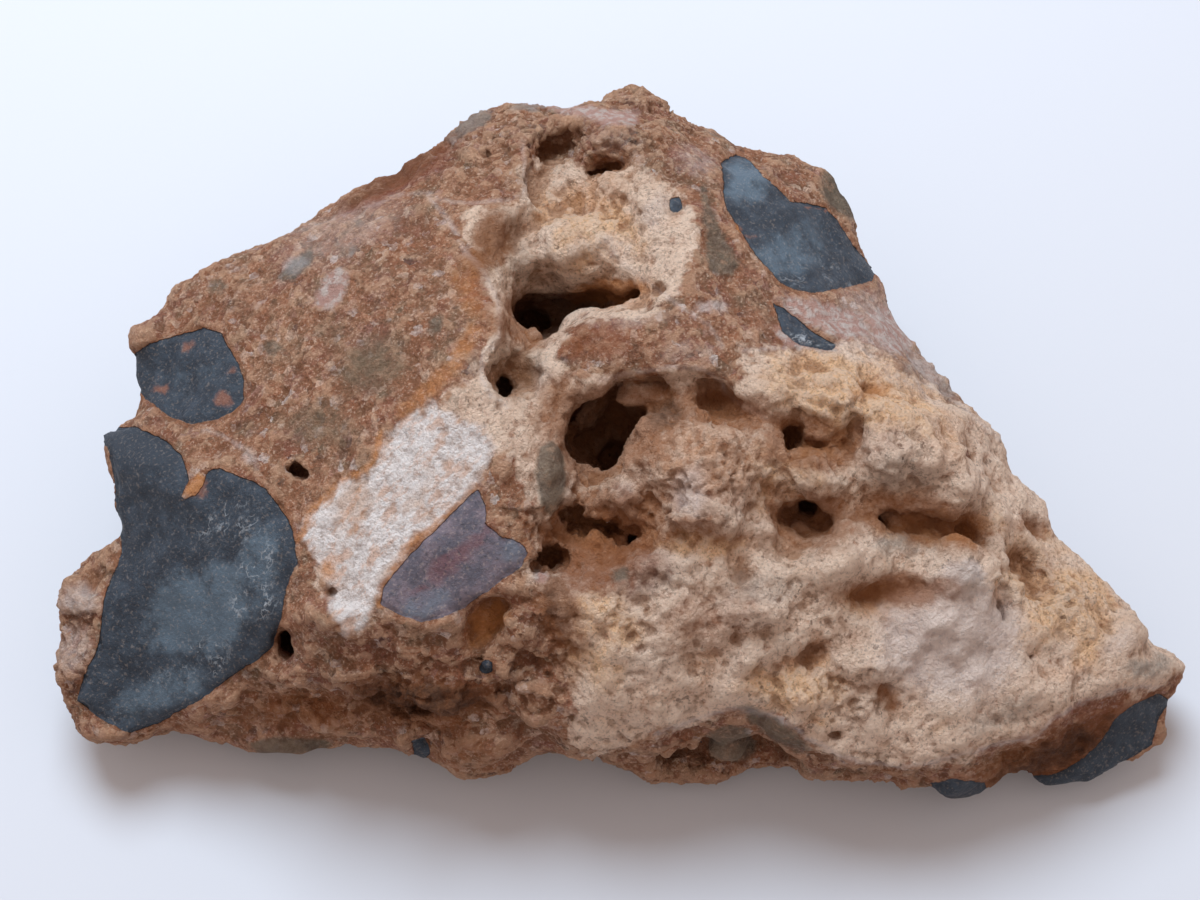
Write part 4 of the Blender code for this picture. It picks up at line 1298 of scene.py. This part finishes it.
@dataclass(frozen=True)
class StoneFinish:
    """The stone's colours, as a screen shows them, and its gloss."""

    matrix_dark: Colour = screen(118, 74, 50)
    matrix_red: Colour = screen(176, 116, 84)
    matrix_tan: Colour = screen(210, 166, 134)
    matrix_wine: Colour = screen(144, 86, 70)
    dolomite_pink: Colour = screen(250, 218, 194)
    dolomite_tan: Colour = screen(248, 200, 156)
    dolomite_grey: Colour = screen(200, 176, 156)
    dolomite_rust: Colour = screen(206, 138, 84)
    pale: Colour = screen(252, 241, 236)
    pale_speck: Colour = screen(176, 134, 110)
    slate: Colour = screen(35, 43, 53)
    slate_light: Colour = screen(50, 60, 71)
    # Painted reflection of the slates and the purple pebble.
    slate_painted_reflection: Colour = screen(88, 104, 117)
    scratch: Colour = screen(186, 190, 194)
    purple: Colour = screen(82, 78, 88)
    purple_light: Colour = screen(108, 96, 104)
    green: Colour = screen(122, 112, 96)
    green_dark: Colour = screen(82, 76, 66)
    pink: Colour = screen(194, 152, 140)
    pink_light: Colour = screen(214, 198, 190)
    # Umber brown, for dirt and for painted shade.
    umber_and_shade: Colour = screen(156, 94, 50)
    # Orange, for rust and streaks and for painted warm bounce light.
    orange: Colour = screen(216, 142, 80)
    olive: Colour = screen(120, 104, 84)
    grey: Colour = screen(146, 138, 130)
    # Whitish, for pale places and for painted highlight on rims.
    white: Colour = screen(236, 219, 212)
    red: Colour = screen(132, 64, 46)
    maroon: Colour = screen(104, 48, 50)
    shadow: Colour = screen(52, 36, 28)
    rim: Colour = screen(174, 118, 86)
    slate_rust: Colour = screen(128, 80, 60)
    # Painted shade in crevices.
    crevice: Colour = screen(130, 86, 58)
    dark_grain: Colour = screen(92, 66, 50)
    # Light grains, and the painted highlight on what stands out.
    light_grain_and_highlight: Colour = screen(238, 208, 184)
    specular: float = 0.3
    rough: float = 0.92
    pebble_rough: float = 0.55
    grain_depth: float = 1.2 * MM

    def material(self) -> bpy.types.Material:
        """Makes the stone's material.

        Returns:
            The material.
        """
        paint = Paint("dolomite conglomerate")
        wander = paint.noise(0.9 * MM, 3) - 0.5
        border = {stuff: paint.attribute(stuff.value) + wander * 0.4 for stuff in Stuff}
        hidden = paint.attribute("hidden_pebble") + wander * 0.4
        kind = paint.attribute("hidden_kind")
        soft = wander * 1.6 + (paint.noise(2.5 * MM, 3, 0.5, 2.0) - 0.5) * 3.0
        colour = self.matrix(paint)
        in_dolomite = paint.rise(border[Stuff.DOLOMITE] + soft, -0.5, 0.5)
        colour = paint.mix(colour, self.dolomite(paint), in_dolomite)
        colour = paint.mix(colour, self.pale_patch(paint), paint.rise(border[Stuff.PALE] + soft * 0.5, -0.6, 0.6))
        colour = self.stained(paint, colour)
        colour = self.rimmed(paint, colour, border[Stuff.SLATE])
        colour = self.rimmed(paint, colour, border[Stuff.PURPLE])
        colour = self.rimmed(paint, colour, hidden)
        in_slate = paint.rise(border[Stuff.SLATE], -0.06, 0.06)
        in_purple = paint.rise(border[Stuff.PURPLE], -0.06, 0.06)
        in_hidden = paint.rise(hidden, -0.06, 0.06)
        colour = paint.mix(colour, self.greenish(paint), paint.rise(border[Stuff.GREEN] + soft * 0.25, -0.35, 0.35) * 0.75)
        colour = paint.mix(colour, self.pinkish(paint), paint.rise(border[Stuff.PINK] + soft * 0.3, -0.4, 0.4) * 0.85)
        colour = paint.mix(colour, self.slaty(paint), in_slate)
        colour = paint.mix(colour, self.purplish(paint), in_purple)
        colour = paint.mix(colour, self.hidden_pebble(paint, kind), in_hidden)
        smooth = paint.math("MAXIMUM", paint.math("MAXIMUM", in_slate, in_purple), in_hidden)
        rough = self.rough + smooth * (self.pebble_rough - self.rough) + (paint.noise(0.6 * MM) - 0.5) * 0.2
        paint.feed(paint.shader.inputs["Base Color"], colour)
        paint.feed(paint.shader.inputs["Roughness"], rough)
        paint.feed(paint.shader.inputs["Normal"], self.grain(paint, smooth))
        paint.shader.inputs["Specular IOR Level"].default_value = self.specular
        return paint.material

    def matrix(self, paint: Paint) -> bpy.types.NodeSocket:
        """Mottles the red-brown matrix, packs it with grit, and paints shade into its hollows and crevices and
        highlight on what stands out.

        Args:
            paint: The material's nodes.

        Returns:
            Its colour.
        """
        dark = paint.rise(paint.noise(2.4 * MM, 8, 0.8), 0.25, 0.66)
        colour = paint.mix(self.matrix_dark, self.matrix_red, dark)
        colour = paint.mix(colour, self.matrix_tan, paint.rise(paint.noise(5 * MM, 8, 0.75, 3.0), 0.42, 0.74) * 0.6)
        colour = paint.mix(colour, self.olive, paint.rise(paint.noise(4 * MM, 6, 0.65, 31.0), 0.48, 0.68) * 0.7)
        colour = paint.mix(colour, self.matrix_wine, paint.rise(paint.noise(5 * MM, 6, 0.65, 5.0), 0.48, 0.64) * 0.7)
        grit = paint.pick(
            paint.grains(0.9 * MM)[1],
            [
                (0.0, self.matrix_red), (0.22, self.olive), (0.38, self.matrix_tan), (0.56, self.matrix_dark),
                (0.72, self.dolomite_pink), (0.84, self.pale), (0.89, self.pink), (0.95, self.slate_light),
            ],
        )
        colour = paint.mix(colour, grit, paint.rise(paint.noise(2.5 * MM, 5, 0.7, 7.0), 0.38, 0.66) * 0.5)
        # Painted shade in hollows and crevices, painted highlight on what stands out.
        return self.shaded(paint, self.speckled(paint, colour, 0.5), self.matrix_tan, 0.5)

    def speckled(self, paint: Paint, colour: Any, strength: float) -> bpy.types.NodeSocket:
        """Speckles a colour with the finest light and dark grains.

        Args:
            paint: The material's nodes.
            colour: The colour.
            strength: How strong the grains are.

        Returns:
            The speckled colour.
        """
        fine = paint.noise(0.34 * MM, 3, 0.6)
        colour = paint.mix(colour, self.dark_grain, paint.rise(fine, 0.50, 0.32) * strength)
        return paint.mix(colour, self.light_grain_and_highlight, paint.rise(fine, 0.52, 0.70) * strength)

    def shaded(self, paint: Paint, colour: Any, light: Colour, strength: float) -> bpy.types.NodeSocket:
        """Darkens a colour in hollows, partly dirt and partly painted shade, darkens it in crevices as painted shade,
        and lightens what stands out as a painted highlight.

        Args:
            paint: The material's nodes.
            colour: The colour.
            light: The colour of the painted highlight on what stands out.
            strength: How much it changes.

        Returns:
            The changed colour.
        """
        hollow = paint.attribute("hollow")
        crevice = paint.attribute("crevice") + (paint.noise(0.5 * MM, 2) - 0.5) * 0.12
        # Brown in broad hollows: partly dirt, partly painted shade.
        colour = paint.mix(colour, self.umber_and_shade, paint.rise(hollow, 0.3, 2.6) * strength)
        # Painted shade in crevices.
        colour = paint.mix(colour, self.crevice, paint.rise(crevice, 0.02, 0.16) * strength)
        # Painted highlight on small bumps.
        return paint.mix(colour, light, paint.rise(crevice, -0.02, -0.14) * strength)

    def dolomite(self, paint: Paint) -> bpy.types.NodeSocket:
        """Mottles the tan dolomite, orange-brown in its hollows as rust and painted shade, with painted shade in
        crevices and painted highlight where it stands out.

        Args:
            paint: The material's nodes.

        Returns:
            Its colour.
        """
        hollow = paint.attribute("hollow")
        mottled = paint.noise(1.3 * MM, 6, 0.72)
        tan = paint.attribute(Stain.TAN.value) + (paint.noise(4 * MM, 4, 0.6, 1.0) - 0.5) * 1.6
        colour = paint.mix(self.dolomite_pink, self.dolomite_tan, paint.rise(tan, 0.1, 0.6))
        colour = paint.mix(
            colour, self.dolomite_grey, paint.rise(paint.noise(2.2 * MM, 6, 0.7, 2.0), 0.50, 0.66) * 0.35
        )
        colour = paint.mix(colour, self.matrix_tan, paint.rise(paint.noise(5 * MM, 8, 0.75, 23.0), 0.46, 0.66) * 0.5)
        colour = paint.mix(colour, self.matrix_red, paint.rise(mottled, 0.53, 0.66) * 0.55)
        colour = paint.mix(colour, self.light_grain_and_highlight, paint.rise(mottled, 0.46, 0.3) * 0.5)
        # Orange-brown in hollows: partly rust, partly painted shade.
        rust = paint.rise(hollow + (mottled - 0.5) * 1.6, 0.0, 1.2)
        colour = paint.mix(colour, self.dolomite_rust, rust * 0.48)
        pits = paint.noise(0.8 * MM, 3, 0.6, 17.0) + (paint.noise(5 * MM, 2, 0.5, 27.0) - 0.5) * 0.5
        colour = paint.mix(colour, self.dark_grain, paint.rise(pits, 0.66, 0.72) * 0.6)
        # Painted shade in hollows and crevices, painted highlight on what stands out.
        return self.shaded(paint, self.speckled(paint, colour, 0.45), self.light_grain_and_highlight, 0.40)

    def pale_patch(self, paint: Paint) -> bpy.types.NodeSocket:
        """Streaks the pale patch, with painted shade in its hollows and crevices and painted highlight on what stands
        out.

        Args:
            paint: The material's nodes.

        Returns:
            Its colour.
        """
        specks = paint.rise(paint.noise(0.8 * MM, 5, 0.7), 0.50, 0.66)
        streaks = paint.rise(paint.noise(1.2 * MM, 5, 0.65, 7.0, 3.0), 0.48, 0.64)
        clouds = paint.rise(paint.noise(4 * MM, 4, 0.6, 9.0, 2.0), 0.48, 0.66)
        colour = paint.mix(self.pale, self.matrix_tan, clouds * 0.6)
        colour = paint.mix(colour, self.orange, streaks * 0.5)
        colour = self.speckled(paint, paint.mix(colour, self.pale_speck, specks * 0.5), 0.2)
        # Painted shade in hollows and crevices, painted highlight on what stands out.
        return self.shaded(paint, colour, self.pale, 0.25)

    def stained(self, paint: Paint, colour: Any) -> bpy.types.NodeSocket:
        """Soaks the stains into a colour, and with them painted shade, shadow, highlight and warm bounce light.

        Args:
            paint: The material's nodes.
            colour: The colour.

        Returns:
            The stained colour.
        """
        patchy = (paint.noise(1.1 * MM, 6, 0.7, 11.0) - 0.5) * 2.2
        stains = (
            (Stain.OLIVE, self.olive, 0.8),
            (Stain.GREY, self.grey, 0.7),
            (Stain.RED, self.red, 0.6),
            (Stain.ORANGE, self.orange, 0.7),
            (Stain.WHITE, self.white, 0.6),
            # Umber is partly dirt and partly painted shade; the dark stain is painted shadow.
            (Stain.UMBER_AND_SHADE, self.umber_and_shade, 0.75),
            (Stain.DARK, self.shadow, 0.8),
        )
        for stain, tint, most in stains:
            amount = paint.attribute(stain.value)
            colour = paint.mix(colour, tint, paint.rise(amount + patchy * amount, 0.0, 0.85) * most)
        return colour

    def rimmed(self, paint: Paint, colour: Any, border: Value) -> bpy.types.NodeSocket:
        """Draws a thin rusty rim round a pebble.

        Args:
            paint: The material's nodes.
            colour: The colour of the ground.
            border: By how many mm a point lies inside the pebble.

        Returns:
            The colour with the rim.
        """
        patchy = paint.rise(paint.noise(2.2 * MM, 4, 0.65, 13.0), 0.42, 0.62)
        return paint.mix(colour, self.rim, paint.rise(border, -0.9, -0.1) * patchy * 0.6)

    def slaty(self, paint: Paint) -> bpy.types.NodeSocket:
        """Gives slate its cloudy dark grey, a painted reflection, its scratches, whitish lines that are partly painted
        highlight, its rust and painted shade.

        Args:
            paint: The material's nodes.

        Returns:
            Its colour.
        """
        cloud = paint.noise(1.5 * MM, 5, 0.7)
        colour = paint.mix(self.slate, self.slate_light, paint.rise(cloud, 0.36, 0.66))
        # Painted reflection where the slate tilts to the light.
        painted_reflection = paint.attribute(Stain.PAINTED_REFLECTION.value)
        broken = (paint.noise(3.0 * MM, 5, 0.65, 2.0) - 0.5) * 2.2 + (cloud - 0.5) * 1.5
        colour = paint.mix(colour, self.slate_painted_reflection, paint.rise(painted_reflection + broken * painted_reflection, 0.15, 0.85) * 0.75)
        lines = paint.noise(1.7 * MM, 3, 0.6, 4.0, 1.8)
        thin = paint.rise(paint.math("ABSOLUTE", lines - 0.5, 0.0), 0.03, 0.004)
        patchy = paint.rise(paint.noise(2.6 * MM, 3, 0.6, 8.0), 0.42, 0.62)
        marks = paint.rise(paint.noise(1.1 * MM, 6, 0.75, 15.0, 1.6), 0.56, 0.68)
        scratched = paint.math("MAXIMUM", thin * 0.6, marks) * patchy
        scratched = scratched * paint.rise(paint.attribute(Stain.SCRATCHED.value), 0.0, 0.7)
        colour = paint.mix(colour, self.scratch, scratched * 0.6)
        # Whitish lines on the slate, partly painted highlight on a lit edge.
        white = paint.attribute(Stain.WHITE.value) + (lines - 0.5) * 1.6
        colour = paint.mix(colour, self.scratch, paint.rise(white, 0.35, 0.9) * 0.7)
        rust = paint.rise(paint.attribute(Stain.ORANGE.value) + (cloud - 0.5) * 2.0, 0.25, 1.0)
        colour = paint.mix(colour, self.slate_rust, rust * 0.75)
        # Painted shade on the slate where the dark stain lies.
        dark = paint.rise(paint.attribute(Stain.DARK.value), 0.0, 0.6)
        return self.speckled(paint, paint.mix(colour, self.slate, dark * 0.8), 0.1)

    def purplish(self, paint: Paint) -> bpy.types.NodeSocket:
        """Gives the purple pebble its streaks and a painted reflection.

        Args:
            paint: The material's nodes.

        Returns:
            Its colour.
        """
        cloud = paint.noise(1.8 * MM, 5, 0.65, 6.0)
        colour = paint.mix(self.purple, self.purple_light, paint.rise(cloud, 0.38, 0.62))
        red = paint.attribute(Stain.RED.value) + (cloud - 0.5) * 1.6
        colour = paint.mix(colour, self.maroon, paint.rise(red, 0.2, 1.1) * 0.5)
        # Painted reflection.
        painted_reflection = paint.attribute(Stain.PAINTED_REFLECTION.value) + (cloud - 0.5) * 1.6
        colour = paint.mix(colour, self.slate_painted_reflection, paint.rise(painted_reflection, 0.2, 0.8) * 0.5)
        colour = paint.mix(colour, self.slate, paint.rise(paint.noise(0.5 * MM, 3), 0.56, 0.7) * 0.5)
        return self.speckled(paint, colour, 0.12)

    def greenish(self, paint: Paint) -> bpy.types.NodeSocket:
        """Mottles the grey-green pebbles.

        Args:
            paint: The material's nodes.

        Returns:
            Their colour.
        """
        colour = paint.mix(self.green, self.green_dark, paint.rise(paint.noise(1.2 * MM, 6, 0.75), 0.36, 0.64))
        colour = paint.mix(colour, self.matrix_tan, paint.rise(paint.noise(2.0 * MM, 6, 0.75, 3.0), 0.50, 0.66) * 0.5)
        return paint.mix(colour, self.scratch, paint.attribute(Stain.WHITE.value) * 0.35)

    def pinkish(self, paint: Paint) -> bpy.types.NodeSocket:
        """Mottles the pink and whitish pebbles.

        Args:
            paint: The material's nodes.

        Returns:
            Their colour.
        """
        return paint.mix(self.pink, self.pink_light, paint.rise(paint.noise(1.0 * MM, 4, 0.6), 0.42, 0.62))

    def hidden_pebble(self, paint: Paint, kind: Value) -> bpy.types.NodeSocket:
        """Colours the pebbles of the hidden side, each by its own kind.

        Args:
            paint: The material's nodes.
            kind: The number that picks the kind, from 0 to 1.

        Returns:
            Their colour.
        """
        picked = paint.pick(
            kind,
            [
                (0.0, self.slate), (0.34, self.slate_light), (0.42, self.purple), (0.56, self.green),
                (0.68, self.pink), (0.80, self.matrix_wine), (0.90, self.dolomite_pink),
            ],
        )
        cloud = paint.rise(paint.noise(1.5 * MM, 5, 0.65, 9.0), 0.38, 0.66)
        return paint.mix(picked, self.grey, cloud * 0.25)

    def grain(self, paint: Paint, smooth: Value) -> bpy.types.NodeSocket:
        """Makes the grain that is finer than the mesh, faint on the pebbles.

        Args:
            paint: The material's nodes.
            smooth: 1 on a pebble and 0 beside it.

        Returns:
            The bent normal.
        """
        away, own = paint.grains(0.55 * MM)
        coarse = paint.math("ABSOLUTE", paint.noise(1.5 * MM, 6, 0.72, 5.0) - 0.5, 0.0)
        fine = paint.noise(0.4 * MM, 3, 0.7, 19.0)
        height = paint.noise(1.0 * MM, 6, 0.75) + coarse + fine * 0.35 + (1 - away) * own * 0.14
        strength = 1 - smooth * 0.8
        sockets = {"Strength": 1.0, "Distance": self.grain_depth, "Height": height * strength}
        return paint.node("ShaderNodeBump", {}, sockets).outputs["Normal"]


@dataclass(frozen=True)
class Studio:
    """The pale floor, the soft light and the camera."""

    photo: Photograph
    floor_size: float = 3.0
    floor_colour: Colour = screen(196, 197, 203)
    sky_colour: Colour = (1.0, 0.86, 0.80, 1.0)
    sky_strength: float = 0.70
    key_colour: tuple[float, float, float] = (0.72, 0.87, 1.0)
    key_strength: float = 3.2
    key_size: float = 0.30
    key_distance: float = 0.50
    key_azimuth: float = math.radians(-20)
    key_elevation: float = math.radians(62)

    def build(self) -> None:
        """Builds the floor, the lights and the camera."""
        self.add_floor()
        self.add_sky()
        self.add_key_light()
        self.photo.add_camera()
        bpy.context.scene.view_settings.view_transform = "Standard"

    def add_floor(self) -> None:
        """Lays a pale, dull floor under the stone."""
        mesh = bmesh.new()
        bmesh.ops.create_grid(mesh, x_segments=1, y_segments=1, size=self.floor_size / 2)
        data = bpy.data.meshes.new("floor")
        mesh.to_mesh(data)
        mesh.free()
        floor = bpy.data.objects.new("floor", data)
        bpy.context.scene.collection.objects.link(floor)
        paint = Paint("floor")
        paint.shader.inputs["Base Color"].default_value = self.floor_colour
        paint.shader.inputs["Roughness"].default_value = 0.9
        data.materials.append(paint.material)

    def add_sky(self) -> None:
        """Lights the scene evenly from all round, a little warm."""
        world = bpy.data.worlds.new("sky")
        world.use_nodes = True
        background = world.node_tree.nodes["Background"]
        background.inputs["Color"].default_value = self.sky_colour
        background.inputs["Strength"].default_value = self.sky_strength
        bpy.context.scene.world = world

    def add_key_light(self) -> None:
        """Hangs a large soft light above and behind the stone, a little to the left."""
        data = bpy.data.lights.new("key light", "AREA")
        data.shape = "DISK"
        data.size = self.key_size
        data.energy = self.key_strength
        data.color = self.key_colour
        light = bpy.data.objects.new("key light", data)
        away = Vector((math.sin(self.key_azimuth), math.cos(self.key_azimuth), 0)) * math.cos(self.key_elevation)
        away.z = math.sin(self.key_elevation)
        light.location = away * self.key_distance
        light.rotation_euler = away.to_track_quat("Z", "Y").to_euler()
        bpy.context.scene.collection.objects.link(light)


def main() -> None:
    """Builds the stone and its studio."""
    logging.basicConfig(level=logging.INFO, format="%(message)s")
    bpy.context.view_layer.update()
    photo = Photograph()
    stone = Stone(photo).build()
    stone.data.materials.clear()
    stone.data.materials.append(StoneFinish().material())
    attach(stone, BODY)
    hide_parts(NODE)
    log.info("%s rides on %s", stone.name, BODY)
    Studio(photo).build()


if __name__ == "__main__":
    main()
